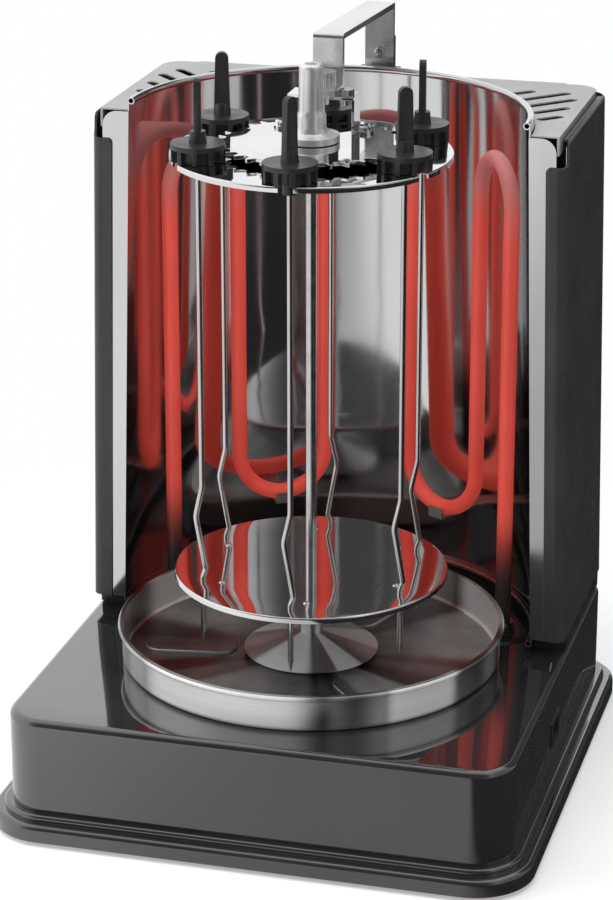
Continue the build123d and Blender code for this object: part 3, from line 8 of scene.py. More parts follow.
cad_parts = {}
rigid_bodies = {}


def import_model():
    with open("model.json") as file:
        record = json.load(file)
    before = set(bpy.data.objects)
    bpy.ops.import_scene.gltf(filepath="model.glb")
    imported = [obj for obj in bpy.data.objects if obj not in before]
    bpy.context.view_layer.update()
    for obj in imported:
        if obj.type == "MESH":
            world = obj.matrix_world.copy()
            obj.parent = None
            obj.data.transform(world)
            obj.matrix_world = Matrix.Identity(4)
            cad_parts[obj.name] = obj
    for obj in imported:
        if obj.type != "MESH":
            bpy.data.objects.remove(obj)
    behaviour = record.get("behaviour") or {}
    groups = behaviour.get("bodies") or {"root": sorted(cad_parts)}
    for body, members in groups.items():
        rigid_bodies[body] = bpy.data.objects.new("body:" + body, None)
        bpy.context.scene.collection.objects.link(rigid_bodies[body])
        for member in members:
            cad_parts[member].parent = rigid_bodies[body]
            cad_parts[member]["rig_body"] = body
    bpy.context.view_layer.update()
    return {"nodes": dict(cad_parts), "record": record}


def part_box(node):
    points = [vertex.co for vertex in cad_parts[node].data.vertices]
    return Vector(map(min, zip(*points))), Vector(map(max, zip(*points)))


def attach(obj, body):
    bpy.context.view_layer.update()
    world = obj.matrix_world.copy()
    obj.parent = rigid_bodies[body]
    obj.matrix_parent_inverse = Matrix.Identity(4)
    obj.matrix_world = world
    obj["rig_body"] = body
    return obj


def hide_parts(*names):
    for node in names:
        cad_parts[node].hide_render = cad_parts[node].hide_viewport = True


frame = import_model()
nodes = frame["nodes"]
MM = 0.001
WHITE = (1, 1, 1, 1)

# Places of the grill that the pieces below share, read from the frame
tray_low, tray_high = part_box("drip_tray")
axis_y = (tray_low.y + tray_high.y) / 2
reflector_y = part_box("reflector")[0].y
skewers = range(1, 7)


# Shader helpers


def put(tree, kind, inputs=(), **settings):
    """Add one shader node, set its fields and fill or link its inputs."""
    node = tree.nodes.new(kind)
    for field, value in settings.items():
        setattr(node, field, value)
    for socket, value in dict(inputs).items():
        if isinstance(value, bpy.types.NodeSocket):
            tree.links.new(value, node.inputs[socket])
        else:
            node.inputs[socket].default_value = value
    return node


def ranged(tree, value, start, stop, low, high):
    """A value's range from start to stop, eased to run from low to high."""
    inputs = {"Value": value, "From Min": start, "From Max": stop, "To Min": low, "To Max": high}
    return put(tree, "ShaderNodeMapRange", inputs, interpolation_type="SMOOTHSTEP").outputs[0]


def maths(tree, operation, first, second=0.0):
    """One sum on two values."""
    return put(tree, "ShaderNodeMath", {0: first, 1: second}, operation=operation).outputs[0]


def vectors(tree, operation, first, second=(0, 0, 0)):
    """One sum on two vectors, as a vector."""
    return put(tree, "ShaderNodeVectorMath", {0: first, 1: second}, operation=operation).outputs[0]


def measured(tree, operation, first, second=(0, 0, 0)):
    """One sum on two vectors, as a value."""
    inputs = {0: first, 1: second}
    return put(tree, "ShaderNodeVectorMath", inputs, operation=operation).outputs["Value"]


def blended(tree, fac, first, second):
    """Two colours mixed by a value."""
    return put(tree, "ShaderNodeMix", {0: fac, 6: first, 7: second}, data_type="RGBA").outputs[2]


def place(tree):
    """The piece's own coordinates, in metres."""
    return put(tree, "ShaderNodeTexCoord").outputs["Object"]


def split(tree, vector):
    """The X, Y and Z of a vector."""
    return put(tree, "ShaderNodeSeparateXYZ", {0: vector}).outputs


def facing(tree):
    """The direction that the face looks in."""
    return put(tree, "ShaderNodeNewGeometry").outputs["Normal"]


def noise(tree, scale, stretch=(1, 1, 1), detail=3.0, where=None):
    """Noise over the piece, drawn out where a stretch is under one."""
    vector = where or place(tree)
    spread = put(tree, "ShaderNodeMapping", {"Vector": vector, "Scale": stretch}).outputs[0]
    inputs = {"Vector": spread, "Scale": scale, "Detail": detail}
    return put(tree, "ShaderNodeTexNoise", inputs).outputs["Fac"]


def round_place(tree, centre_y):
    """Distance from the upright axis, height and nothing, so that noise makes rings."""
    parts = split(tree, place(tree))
    across = maths(tree, "SUBTRACT", parts["Y"], centre_y)
    flat = put(tree, "ShaderNodeCombineXYZ", {"X": parts["X"], "Y": across}).outputs[0]
    reach = measured(tree, "LENGTH", flat)
    return put(tree, "ShaderNodeCombineXYZ", {"X": reach, "Y": parts["Z"]}).outputs[0]


def outward_from(tree, centre_y):
    """The level direction away from an upright axis."""
    spot = vectors(tree, "SUBTRACT", place(tree), (0, centre_y, 0))
    level = vectors(tree, "MULTIPLY", spot, (1, 1, 0))
    return vectors(tree, "NORMALIZE", level)


# Painted highlight fans of spun metal: the angle from the front, and the angles at which a fan starts and
# is full
bright_fans = (
    (-14.0, 34.0, 20.0), (50.0, 15.0, 9.0), (118.0, 26.0, 15.0), (-128.0, 30.0, 18.0), (176.0, 18.0, 9.0),
)
# Faint painted light and dark fans from noise: its scale, the span of it that is used, and their brightest
# value
faint_fan_scale = 3.4
faint_fan_span = (0.4, 0.62)
faint_fan_light = 0.55


def fans(tree, centre_y, low):
    """Painted highlight and shade: soft light and dark fans round an upright axis, as spun metal mirrors
    them.
    """
    outward = outward_from(tree, centre_y)
    faint = noise(tree, faint_fan_scale, detail=1.0, where=outward)
    light = ranged(tree, faint, *faint_fan_span, low, faint_fan_light)
    for angle, start, full in bright_fans:
        middle_way = (sin(radians(angle)), -cos(radians(angle)), 0)
        near = measured(tree, "DOT_PRODUCT", outward, middle_way)
        fan = ranged(tree, near, cos(radians(start)), cos(radians(full)), low, 1.0)
        light = maths(tree, "MAXIMUM", light, fan)
    return light


edge_samples = 6
edge_turn = (0.86, 0.985)


def edge_mask(tree, radius):
    """One at the piece's edges and nothing on its faces."""
    soft = put(tree, "ShaderNodeBevel", {"Radius": radius}, samples=edge_samples).outputs[0]
    turn = measured(tree, "DOT_PRODUCT", soft, facing(tree))
    return ranged(tree, turn, *edge_turn, 1.0, 0.0)


# What all finishes share: the spans of noise that are used, how the edge tint of wear and painted highlight
# shows, and how the painted fans of highlight and shade show
finish = {}
cloud_span = (0.3, 0.7)
smudge_span = (0.3, 0.72)
smudge_scale = 1.7
smudge_detail = 5.0
bump_detail = 2.0
wear_scale = 160.0
wear_span = (0.35, 0.6)
wear_least = 0.25
# The painted shade of the fans, and the metallic where their painted highlight is brightest
fan_shadow = (0.08, 0.079, 0.077, 1)
bright_fan_metallic = 0.3


def surface(name, colour, other, rough, bumps, patch=30.0, stretch=(1, 1, 1), edge_wear_and_highlight=None, rings=None,
            spun=0.0, **sockets):
    """Add a finish whose colour, roughness and bump vary over the piece.

    colour and other are mixed by noise of the patch scale, rough runs from its low to its high value,
    bumps lists (scale, stretch, depth in metres), worn is (radius, colour, roughness) for the edges, a
    lighter edge tint that is partly wear and partly a painted highlight, and rings is the place of an
    upright axis that the bumps and patches go round. A spun piece spreads its gloss across the turning
    lines and has painted highlight and shade in light and dark fans, of which spun is the least brightness.
    """
    material = bpy.data.materials.new(name)
    material.use_nodes = True
    tree = material.node_tree
    shader = tree.nodes["Principled BSDF"]
    for socket, value in sockets.items():
        shader.inputs[socket.replace("_", " ")].default_value = value
    where = None if rings is None else round_place(tree, rings)
    cloud = noise(tree, patch, stretch, where=where)
    tint = blended(tree, ranged(tree, cloud, *cloud_span, 0.0, 1.0), (*colour, 1), (*other, 1))
    finer = noise(tree, patch * smudge_scale, stretch, smudge_detail, where)
    smudge = ranged(tree, finer, *smudge_span, *rough)
    # Edges get a lighter tint that is partly wear and partly a painted highlight along them
    if edge_wear_and_highlight:
        wear_radius, wear_and_highlight_colour, wear_rough = edge_wear_and_highlight
        rim = edge_mask(tree, wear_radius)
        wear = ranged(tree, noise(tree, wear_scale), *wear_span, wear_least, 1.0)
        worn_and_highlit_edges = maths(tree, "MULTIPLY", rim, wear)
        tint = blended(tree, worn_and_highlit_edges, tint, (*wear_and_highlight_colour, 1))
        smudge = maths(tree, "ADD", smudge, maths(tree, "MULTIPLY", rim, wear_rough))
    tree.links.new(tint, shader.inputs["Base Color"])
    tree.links.new(smudge, shader.inputs["Roughness"])
    normal = None
    for scale, drawn, depth in bumps:
        height = noise(tree, scale, drawn, bump_detail, where)
        inputs = {"Height": height, "Distance": depth, "Strength": 1.0}
        if normal:
            inputs["Normal"] = normal
        normal = put(tree, "ShaderNodeBump", inputs).outputs[0]
    tree.links.new(normal, shader.inputs["Normal"])
    if spun:
        lines = put(tree, "ShaderNodeTangent", direction_type="RADIAL", axis="Z").outputs[0]
        tree.links.new(lines, shader.inputs["Tangent"])
        # Painted highlight and shade: the fans go into the base colour, and the bright ones are less
        # metallic so that they read white
        shade = fans(tree, rings, spun)
        tree.links.new(blended(tree, shade, fan_shadow, tint), shader.inputs["Base Color"])
        metallic = ranged(tree, shade, spun, 1.0, 1.0, bright_fan_metallic)
        tree.links.new(metallic, shader.inputs["Metallic"])
    finish[name] = material


def opened(name):
    """A finish's node tree, its shader and where its colour comes from."""
    tree = finish[name].node_tree
    shader = tree.nodes["Principled BSDF"]
    return tree, shader, shader.inputs["Base Color"].links[0].from_socket


# Finishes, each with the variation that it shows

even = (1, 1, 1)
surface(
    "black_gloss", (0.012, 0.012, 0.013), (0.018, 0.018, 0.019), (0.035, 0.085),
    [(420.0, even, 0.000012), (28.0, even, 0.00006)],
    patch=14.0, edge_wear_and_highlight=(0.0008, (0.035, 0.035, 0.036), 0.05), IOR=1.75,
    Coat_Weight=1.0, Coat_Roughness=0.03, Coat_IOR=1.75,
)
surface(
    "black_moulded", (0.016, 0.016, 0.017), (0.024, 0.024, 0.025), (0.3, 0.42),
    [(1500.0, even, 0.00003)], patch=60.0, edge_wear_and_highlight=(0.0006, (0.05, 0.05, 0.052), 0.06), IOR=1.52,
)
surface(
    "black_enamel", (0.034, 0.0345, 0.035), (0.042, 0.0425, 0.043), (0.24, 0.34),
    [(650.0, even, 0.00003)], patch=22.0, edge_wear_and_highlight=(0.0006, (0.1, 0.1, 0.102), 0.08), IOR=1.45,
)
surface(
    "grey_enamel", (0.29, 0.291, 0.293), (0.34, 0.341, 0.343), (0.3, 0.4),
    [(700.0, even, 0.00003)], patch=24.0, edge_wear_and_highlight=(0.0006, (0.45, 0.45, 0.45), 0.05), IOR=1.6,
)
surface(
    "black_rubber", (0.014, 0.014, 0.014), (0.024, 0.024, 0.024), (0.62, 0.78),
    [(900.0, even, 0.00008)], patch=90.0,
)
surface(
    "polished_chrome", (0.84, 0.845, 0.85), (0.78, 0.785, 0.79), (0.03, 0.075),
    [(900.0, (1, 0.06, 1), 0.000003), (18.0, even, 0.00006)],
    patch=26.0, edge_wear_and_highlight=(0.0005, (0.9, 0.9, 0.9), 0.04), Metallic=1.0,
)
surface(
    "brushed_chrome", (0.82, 0.822, 0.825), (0.74, 0.742, 0.745), (0.24, 0.34),
    [(1500.0, (1, 0.03, 1), 0.000006)],
    patch=60.0, stretch=(1, 0.1, 1), edge_wear_and_highlight=(0.0005, (0.9, 0.9, 0.9), 0.0), Metallic=1.0,
)
surface(
    "spun_steel", (0.88, 0.877, 0.87), (0.82, 0.817, 0.81), (0.34, 0.44),
    [(1600.0, even, 0.000003)],
    patch=420.0, rings=axis_y, edge_wear_and_highlight=(0.0005, (0.85, 0.85, 0.84), 0.0), spun=0.5,
    Anisotropic=0.75, Anisotropic_Rotation=0.25,
)
surface(
    "turned_aluminium", (0.9, 0.9, 0.905), (0.82, 0.82, 0.825), (0.26, 0.36),
    [(1100.0, (0.02, 0.02, 1), 0.00001)], patch=60.0, stretch=(0.3, 0.3, 1),
    edge_wear_and_highlight=(0.0004, (0.92, 0.92, 0.92), 0.02), Metallic=0.85,
)
surface(
    "skewer_steel", (0.7, 0.695, 0.685), (0.58, 0.575, 0.565), (0.12, 0.24),
    [(2200.0, (1, 1, 0.02), 0.000006)], patch=120.0, stretch=(1, 1, 0.15), Metallic=1.0,
)
surface(
    "shaft_steel", (0.68, 0.68, 0.675), (0.56, 0.56, 0.555), (0.14, 0.26),
    [(1500.0, (0.02, 0.02, 1), 0.000008)], patch=80.0, stretch=(0.4, 0.4, 1), Metallic=1.0,
)
surface(
    "plated_screw", (0.66, 0.66, 0.65), (0.5, 0.5, 0.49), (0.18, 0.32),
    [(1300.0, even, 0.00001)], patch=300.0, edge_wear_and_highlight=(0.0004, (0.82, 0.82, 0.8), 0.0), Metallic=1.0,
)
surface(
    "motor_steel", (0.52, 0.52, 0.5), (0.42, 0.42, 0.41), (0.3, 0.45),
    [(500.0, even, 0.00002)], patch=120.0, Metallic=1.0,
)
surface(
    "brass_bush", (0.72, 0.52, 0.22), (0.6, 0.42, 0.17), (0.2, 0.34),
    [(1200.0, (0.05, 0.05, 1), 0.00001)], patch=150.0, Metallic=1.0,
)
surface(
    "white_nylon", (0.78, 0.77, 0.73), (0.7, 0.69, 0.65), (0.38, 0.5),
    [(700.0, even, 0.00003)], patch=80.0,
)
surface(
    "ceramic_black", (0.02, 0.02, 0.02), (0.034, 0.033, 0.032), (0.28, 0.45),
    [(900.0, even, 0.00004)], patch=140.0,
)
surface(
    "wire_cover", (0.2, 0.05, 0.03), (0.14, 0.03, 0.02), (0.42, 0.55),
    [(1400.0, even, 0.00003)], patch=140.0,
)
surface(
    "switch_mark", (0.36, 0.05, 0.04), (0.28, 0.04, 0.032), (0.35, 0.5),
    [(1500.0, even, 0.00001)], patch=200.0,
)

# Heater: where its outer ends stay cold, and the heights between which its top bends dim
cold_reach = (79 * MM, 86 * MM)
cold_height = (90 * MM, 142 * MM)
dim_height = (280 * MM, 322 * MM)
dim_share = 0.85
dull_red = (0.32, 0.125, 0.118, 1)
cold_black = (0.03, 0.024, 0.023, 1)
glow_strength = 0.4
glow_end = 0.75


def glowing_tube():
    """The heater's sheath: red along its legs, dull at its top bends, dark where its ends stay cold."""
    surface(
        "heater_tube", (0.66, 0.072, 0.05), (0.58, 0.058, 0.04), (0.3, 0.42),
        [(900.0, (1, 1, 0.2), 0.00002)], patch=40.0, stretch=(1, 1, 0.4),
    )
    tree, shader, red = opened("heater_tube")
    parts = split(tree, place(tree))
    outer = ranged(tree, maths(tree, "ABSOLUTE", parts["X"]), *cold_reach, 0.0, 1.0)
    low = ranged(tree, parts["Z"], *cold_height, 1.0, 0.0)
    cold = maths(tree, "MULTIPLY", outer, low)
    high = ranged(tree, parts["Z"], *dim_height, 0.0, dim_share)
    dull = blended(tree, high, red, dull_red)
    tint = blended(tree, cold, dull, cold_black)
    tree.links.new(tint, shader.inputs["Base Color"])
    tree.links.new(tint, shader.inputs["Emission Color"])
    glow = ranged(tree, cold, 0.0, glow_end, glow_strength, 0.0)
    tree.links.new(glow, shader.inputs["Emission Strength"])


# Tray: how level a face has to be to count as its floor, and how patchy the painted dark reflection on the
# floor is
level_slope = (0.75, 0.97)
floor_shade_scale = 22.0
floor_shade_least = 0.72
painted_floor_shade = (0.12, 0.119, 0.117, 1)


def tray_steel():
    """The tray's spun steel: bright on its wall and rim, with a painted dark reflection on its floor."""
    surface(
        "tray_steel", (0.92, 0.917, 0.91), (0.86, 0.857, 0.85), (0.28, 0.36),
        [(1600.0, even, 0.000003)],
        patch=420.0, rings=axis_y, edge_wear_and_highlight=(0.0005, (0.92, 0.92, 0.91), 0.0), spun=0.3,
        Anisotropic=0.8, Anisotropic_Rotation=0.25,
    )
    tree, shader, bright = opened("tray_steel")
    # Painted dark reflection: the level floor is darkened in patches, standing for the dark that it mirrors
    level = ranged(tree, split(tree, facing(tree))["Z"], *level_slope, 0.0, 1.0)
    shade_patches = ranged(tree, noise(tree, floor_shade_scale), *cloud_span, floor_shade_least, 1.0)
    floor_shade_mask = maths(tree, "MULTIPLY", level, shade_patches)
    floor_tint = blended(tree, floor_shade_mask, bright, painted_floor_shade)
    tree.links.new(floor_tint, shader.inputs["Base Color"])


# Reflector: how far a face has to look outwards, and the height it has to be under, to get painted shade
back_turn = (0.5, 0.8)
dark_below = (350 * MM, 350.5 * MM)
painted_back_shade = (0.02, 0.02, 0.02, 1)


def reflector_steel():
    """The reflector's sheet: a mirror towards the heater, with painted shade making its back dull and dark.
    """
    surface(
        "reflector_steel", (0.72, 0.725, 0.73), (0.64, 0.645, 0.65), (0.05, 0.13),
        [(7.0, (1, 1, 0.35), 0.0004), (700.0, (1, 1, 0.02), 0.000003)],
        patch=16.0, stretch=(1, 1, 0.3), edge_wear_and_highlight=(0.0005, (0.85, 0.85, 0.85), 0.05), Metallic=1.0,
    )
    tree, shader, bright = opened("reflector_steel")
    # Painted shade: the outward-looking back, under the rim, is darkened where it lies in the housing's
    # hollow
    turn = measured(tree, "DOT_PRODUCT", outward_from(tree, reflector_y), facing(tree))
    under_rim = ranged(tree, split(tree, place(tree))["Z"], *dark_below, 1.0, 0.0)
    back = maths(tree, "MULTIPLY", ranged(tree, turn, *back_turn, 0.0, 1.0), under_rim)
    shaded_back_tint = blended(tree, back, bright, painted_back_shade)
    tree.links.new(shaded_back_tint, shader.inputs["Base Color"])


glowing_tube()
tray_steel()
reflector_steel()


# Softened copies of the solids

weld_distance = 0.002 * MM
flat_angle = radians(0.4)
skin_crease = 34.0
round_segments = 2
slot_of = {entry["node"]: entry["material_slot"] for entry in frame["record"]["subparts"]}
special = {"drip_tray": "tray_steel", "support_arm": "brushed_chrome", "reflector": "reflector_steel"}

# The pieces whose edges are rounded, by the width of the rounding in millimetres
rounded = {
    0.2: ["top_post", "thumb_screw", "heater_clips"],
    0.25: ["carrier_disc", "sun_gear"],
    0.3: ["hold_down_bracket", "left_panel", "right_panel", "rear_panel", "top_cover", "switch_housing",
          "rocker", "bracket_bolt"] + [f"skewer_head_{n}" for n in skewers],
    0.4: ["base_shell", "plinth", "support_arm", "arm_foot", "housing_foot"],
    0.5: ["cable_gland"],
}
edge_width = {name: width * MM for width, names in rounded.items() for name in names}

# A cut-out whose edges stay sharp, because another piece covers it
covered_by = {"base_shell": "switch_housing"}


def inside(edge, low, high):
    """Whether both ends of an edge lie in a box."""
    return all(low[k] <= vert.co[k] <= high[k] for vert in edge.verts for k in range(3))


def welded(name):
    """A node's mesh with its corners joined."""
    shape = bmesh.new()
    shape.from_mesh(nodes[name].data)
    bmesh.ops.remove_doubles(shape, verts=shape.verts, dist=weld_distance)
    return shape


def made(shape, name, look, crease):
    """Turn a mesh being made into an object with a finish, creased where faces meet at an angle."""
    mesh = bpy.data.meshes.new(name)
    shape.to_mesh(mesh)
    shape.free()
    for face in mesh.polygons:
        face.use_smooth = True
    mesh.set_sharp_from_angle(angle=radians(crease))
    mesh.materials.append(finish[look])
    piece = bpy.data.objects.new(name, mesh)
    bpy.context.scene.collection.objects.link(piece)
    return piece


def refine(name, slot):
    """A copy of a solid with its edges rounded, which stands for it."""
    shape = welded(name)
    bmesh.ops.dissolve_limit(
        shape, angle_limit=flat_angle, use_dissolve_boundaries=False, verts=shape.verts, edges=shape.edges,
    )
    weight = shape.edges.layers.float.new("bevel_weight_edge")
    for edge in shape.edges:
        folded = len(edge.link_faces) == 2 and edge.calc_face_angle() > radians(skin_crease)
        if folded and not (name in covered_by and inside(edge, *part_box(covered_by[name]))):
            edge[weight] = 1.0
    piece = made(shape, f"{name}_skin", special.get(name, slot), skin_crease)
    bevel = piece.modifiers.new("rounding", "BEVEL")
    bevel.width = edge_width[name]
    bevel.segments = round_segments
    bevel.limit_method = "WEIGHT"
    bevel.use_clamp_overlap = True
    bevel.harden_normals = True
    bevel.miter_outer = "MITER_ARC"
    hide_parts(name)
    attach(piece, nodes[name]["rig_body"])


for name, solid in nodes.items():
    slot = slot_of[name]
    if name in edge_width:
        refine(name, slot)
        continue
    solid.data.materials.clear()
    solid.data.materials.append(finish[special.get(name, slot)])


# Small pieces that the solids show only plainly

piece_crease = 30.0


def islands(name):
    """The lowest and highest corner of each separate solid in a node, in a fixed order."""
    shape = welded(name)
    waiting = set(shape.verts)
    boxes = []
    while waiting:
        group = [waiting.pop()]
        for vert in group:
            for edge in vert.link_edges:
                other = edge.other_vert(vert)
                if other in waiting:
                    waiting.remove(other)
                    group.append(other)
        low = Vector([min(vert.co[k] for vert in group) for k in range(3)])
        high = Vector([max(vert.co[k] for vert in group) for k in range(3)])
        boxes.append((low, high))
    shape.free()
    return sorted(boxes, key=lambda box: tuple(box[0]))


def stand(point, direction):
    """A frame at a point whose Z looks along a direction."""
    return Matrix.Translation(point) @ Vector(direction).to_track_quat("Z", "Y").to_matrix().to_4x4()


def band(shape, first, second):
    """Close the strip between two rings of corners."""
    for k in range(len(first)):
        after = (k + 1) % len(first)
        shape.faces.new((first[k], first[after], second[after], second[k]))


def lathe(shape, frame_at, profile, steps):
    """Turn a profile of (radius, height) about a frame's Z, and return its rings."""
    rings = []
    for radius, height in profile:
        ring = []
        for step in range(steps):
            angle = 2 * pi * step / steps
            corner = Vector((radius * cos(angle), radius * sin(angle), height))
            ring.append(shape.verts.new(frame_at @ corner))
        rings.append(ring)
    for lower_ring, upper_ring in zip(rings, rings[1:]):
        band(shape, lower_ring, upper_ring)
    return rings


def loop(shape, centre_x, centre_y, radius, height, steps=40):
    """A level ring of corners."""
    corners = []
    for step in range(steps):
        angle = 2 * pi * step / steps
        spot = (centre_x + radius * cos(angle), centre_y + radius * sin(angle), height)
        corners.append(shape.verts.new(spot))
    return corners


def filled(shape, loops):
    """Close the space inside the first ring and outside the others."""
    edges = []
    for ring in loops:
        for first, second in zip(ring, ring[1:] + ring[:1]):
            edges.append(shape.edges.get((first, second)) or shape.edges.new((first, second)))
    bmesh.ops.triangle_fill(shape, use_beauty=True, use_dissolve=False, edges=edges)


def finished(shape, name, look, body, stands_for=()):
    """Close a mesh being made into a piece with its finish, riding on its body."""
    bmesh.ops.recalc_face_normals(shape, faces=shape.faces)
    piece = made(shape, name, look, piece_crease)
    if stands_for:
        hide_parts(*stands_for)
    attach(piece, body)
    return piece


# Lower disc: a lipped plate with a rounded edge, holes for the spit and the skewers, and pressed dimples
disc_sheet = 1.2 * MM
disc_edge = 1.0 * MM
disc_steps = 180
edge_steps = 6
spit_hole = 3.02 * MM
skewer_hole = 1.56 * MM
skewer_orbit = 60.5 * MM
dimple_orbit = 52.7 * MM
dimple_lead = radians(7.5)
dimple_rise = 1.0 * MM
dimple_width = 1.84 * MM
dimple_root = 0.2 * MM
dimple_steps = 24
dome_steps = 5

disc_low, disc_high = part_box("lower_disc")
disc_radius = (disc_high.x - disc_low.x) / 2
disc_inner = disc_radius - disc_sheet
disc_top = disc_high.z - dimple_rise
disc_under = disc_top - disc_sheet
plate = bmesh.new()
plate_profile = [(disc_inner, disc_under), (disc_inner, disc_low.z), (disc_radius, disc_low.z)]
for step in range(edge_steps + 1):
    turn = pi / 2 * step / edge_steps
    edge_radius = disc_radius - disc_edge * (1 - cos(turn))
    edge_height = disc_top - disc_edge * (1 - sin(turn))
    plate_profile.append((edge_radius, edge_height))
plate_rings = lathe(plate, Matrix.Translation((0, axis_y, 0)), plate_profile, disc_steps)
dimple_profile = [(dimple_width, -dimple_root)]
for step in range(dome_steps):
    turn = pi / 2 * step / dome_steps
    dimple_profile.append((dimple_width * cos(turn), dimple_rise * sin(turn)))
hole_places = [(0.0, axis_y, spit_hole)]
for n in skewers:
    head_low, head_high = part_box(f"skewer_head_{n}")
    bearing = atan2((head_low.y + head_high.y) / 2 - axis_y, (head_low.x + head_high.x) / 2)
    hole_places.append((skewer_orbit * cos(bearing), axis_y + skewer_orbit * sin(bearing), skewer_hole))
    spot_way = bearing + dimple_lead
    spot = (dimple_orbit * cos(spot_way), axis_y + dimple_orbit * sin(spot_way), disc_top)
    dome_rings = lathe(plate, Matrix.Translation(spot), dimple_profile, dimple_steps)
    plate.faces.new(list(reversed(dome_rings[0])))
    plate.faces.new(dome_rings[-1])
upper = [loop(plate, x, y, radius, disc_top) for x, y, radius in hole_places]
lower = [loop(plate, x, y, radius, disc_under) for x, y, radius in hole_places]
filled(plate, [plate_rings[-1]] + upper)
filled(plate, [plate_rings[0]] + lower)
for above, below in zip(upper, lower):
    band(plate, above, below)
disc_body = nodes["lower_disc"]["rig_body"]
disc_piece = finished(plate, "lower_disc_skin", "polished_chrome", disc_body, ("lower_disc",))


# Screws with cross recesses at the rear, on the arm and under the plinth
head_height = 1.6 * MM
shank_radius = 1.6 * MM
head_steps = 32

# The head's rounding as shares of its radius and height, and the recess as shares of both
head_round = ((1, 0), (1, 0.3), (0.95, 0.55), (0.82, 0.8), (0.6, 0.95))
recess_reach = 0.5
recess_half = 0.13
recess_taper = 0.8
recess_floor = 0.4


def pan_head(shape, point, direction, radius, depth):
    """One pan-head screw with a cross recess, its seat at the point."""
    frame_at = stand(point, direction)
    profile = [(shank_radius, -depth), (shank_radius, 0)]
    profile += [(radius * out, head_height * up) for out, up in head_round]
    rings = lathe(shape, frame_at, profile, head_steps)
    shape.faces.new(list(reversed(rings[0])))
    reach, half = radius * recess_reach, radius * recess_half
    corners = [
        (half, reach), (-half, reach), (-half, half), (-reach, half), (-reach, -half), (-half, -half),
        (-half, -reach), (half, -reach), (half, -half), (reach, -half), (reach, half), (half, half),
    ]
    rim = [shape.verts.new(frame_at @ Vector((x, y, head_height))) for x, y in corners]
    bed = []
    for x, y in corners:
        low_corner = Vector((x * recess_taper, y * recess_taper, head_height * recess_floor))
        bed.append(shape.verts.new(frame_at @ low_corner))
    filled(shape, [rings[-1], rim])
    band(shape, rim, bed)
    shape.faces.new(bed)


cover_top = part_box("top_cover")[1].z
for name in ("rear_screws", "arm_screws", "plinth_screws"):
    heads = bmesh.new()
    for low, high in islands(name):
        centre = (low + high) / 2
        radius = (high.x - low.x) / 2
        length = high.y - low.y
        if name == "plinth_screws":
            seat, way = Vector((centre.x, centre.y, low.z + head_height)), (0, 0, -1)
            length = high.z - low.z
        elif name == "arm_screws" and centre.z > cover_top:
            seat, way = Vector((centre.x, low.y + head_height, centre.z)), (0, -1, 0)
        else:
            seat, way = Vector((centre.x, high.y - head_height, centre.z)), (0, 1, 0)
        pan_head(heads, seat, way, radius, length - head_height)
    screw_piece = finished(heads, f"{name}_heads", "plated_screw", nodes[name]["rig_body"], (name,))

# Rubber feet with a rounded edge and ring grooves underneath, as shares of a foot's radius and height
foot_shape = (
    (0.96, 1), (1, 0.75), (1, 0.3), (0.97, 0.1), (0.92, 0), (0.76, 0), (0.72, 0.25), (0.64, 0.25),
    (0.6, 0), (0.42, 0), (0.38, 0.25), (0.3, 0.25), (0.26, 0),
)
foot_middle = 0.4 * MM
foot_steps = 48
feet = bmesh.new()
for low, high in islands("rubber_feet"):
    centre = (low + high) / 2
    tall, wide = high.z - low.z, (high.x - low.x) / 2
    outline = [(wide * out, tall * up) for out, up in foot_shape]
    outline = [(foot_middle, tall), *outline, (foot_middle, 0)]
    rings = lathe(feet, Matrix.Translation((centre.x, centre.y, low.z)), outline, foot_steps)
    feet.faces.new(rings[0])
    feet.faces.new(list(reversed(rings[-1])))
feet_body = nodes["rubber_feet"]["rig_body"]
feet_piece = finished(feet, "ribbed_feet", "black_rubber", feet_body, ("rubber_feet",))


# On and off marks on the two faces of the rocker

pin_free_share = 0.3
least_outward = 0.8
mark_sunk = 0.02 * MM
mark_proud = 0.08 * MM
ring_outer = 1.7 * MM
ring_inner = 1.25 * MM
ring_steps = 36
bar_long = 1.8 * MM
bar_wide = 0.24 * MM


def rocker_face(side):
    """The middle and the normal of the front (-1) or rear (1) half of the rocker's face."""
    low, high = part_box("rocker")
    centre = (low + high) / 2
    clear_of_pins = (high.z - low.z) * pin_free_share
    middle, normal, whole = Vector(), Vector(), 0.0
    for face in nodes["rocker"].data.polygons:
        beside = (face.center.y - centre.y) * side
        from_middle = abs(face.center.z - centre.z)
        if face.normal.x > least_outward and beside > 0 and from_middle < clear_of_pins:
            middle += face.center * face.area
            normal += face.normal * face.area
            whole += face.area
    return middle / whole, normal.normalized()


def ring_mark(shape):
    """The off mark, a flat raised ring on the rear half."""
    middle, normal = rocker_face(1)
    profile = [(ring_inner, 0), (ring_outer, 0), (ring_outer, mark_proud), (ring_inner, mark_proud)]
    profile.append(profile[0])
    lathe(shape, stand(middle - normal * mark_sunk, normal), profile, ring_steps)


def bar_mark(shape):
    """The on mark, a flat raised bar on the front half."""
    middle, normal = rocker_face(-1)
    frame_at = stand(middle - normal * mark_sunk, normal)
    upright = frame_at.inverted().to_3x3() @ Vector((0, 0, 1))
    aside = upright.cross(Vector((0, 0, 1)))
    bar = []
    for along, across in ((-1, -1), (1, -1), (1, 1), (-1, 1)):
        corner = upright * along * bar_long + aside * across * bar_wide
        bar.append(shape.verts.new(frame_at @ corner))
    top = [shape.verts.new(vert.co + normal * mark_proud) for vert in bar]
    shape.faces.new(top)
    shape.faces.new(list(reversed(bar)))
    band(shape, bar, top)


marks = bmesh.new()
ring_mark(marks)
bar_mark(marks)
marks_piece = finished(marks, "rocker_marks", "switch_mark", "rocker_switch")


# Stage: a pale floor, a pale surround, soft lamps and the camera

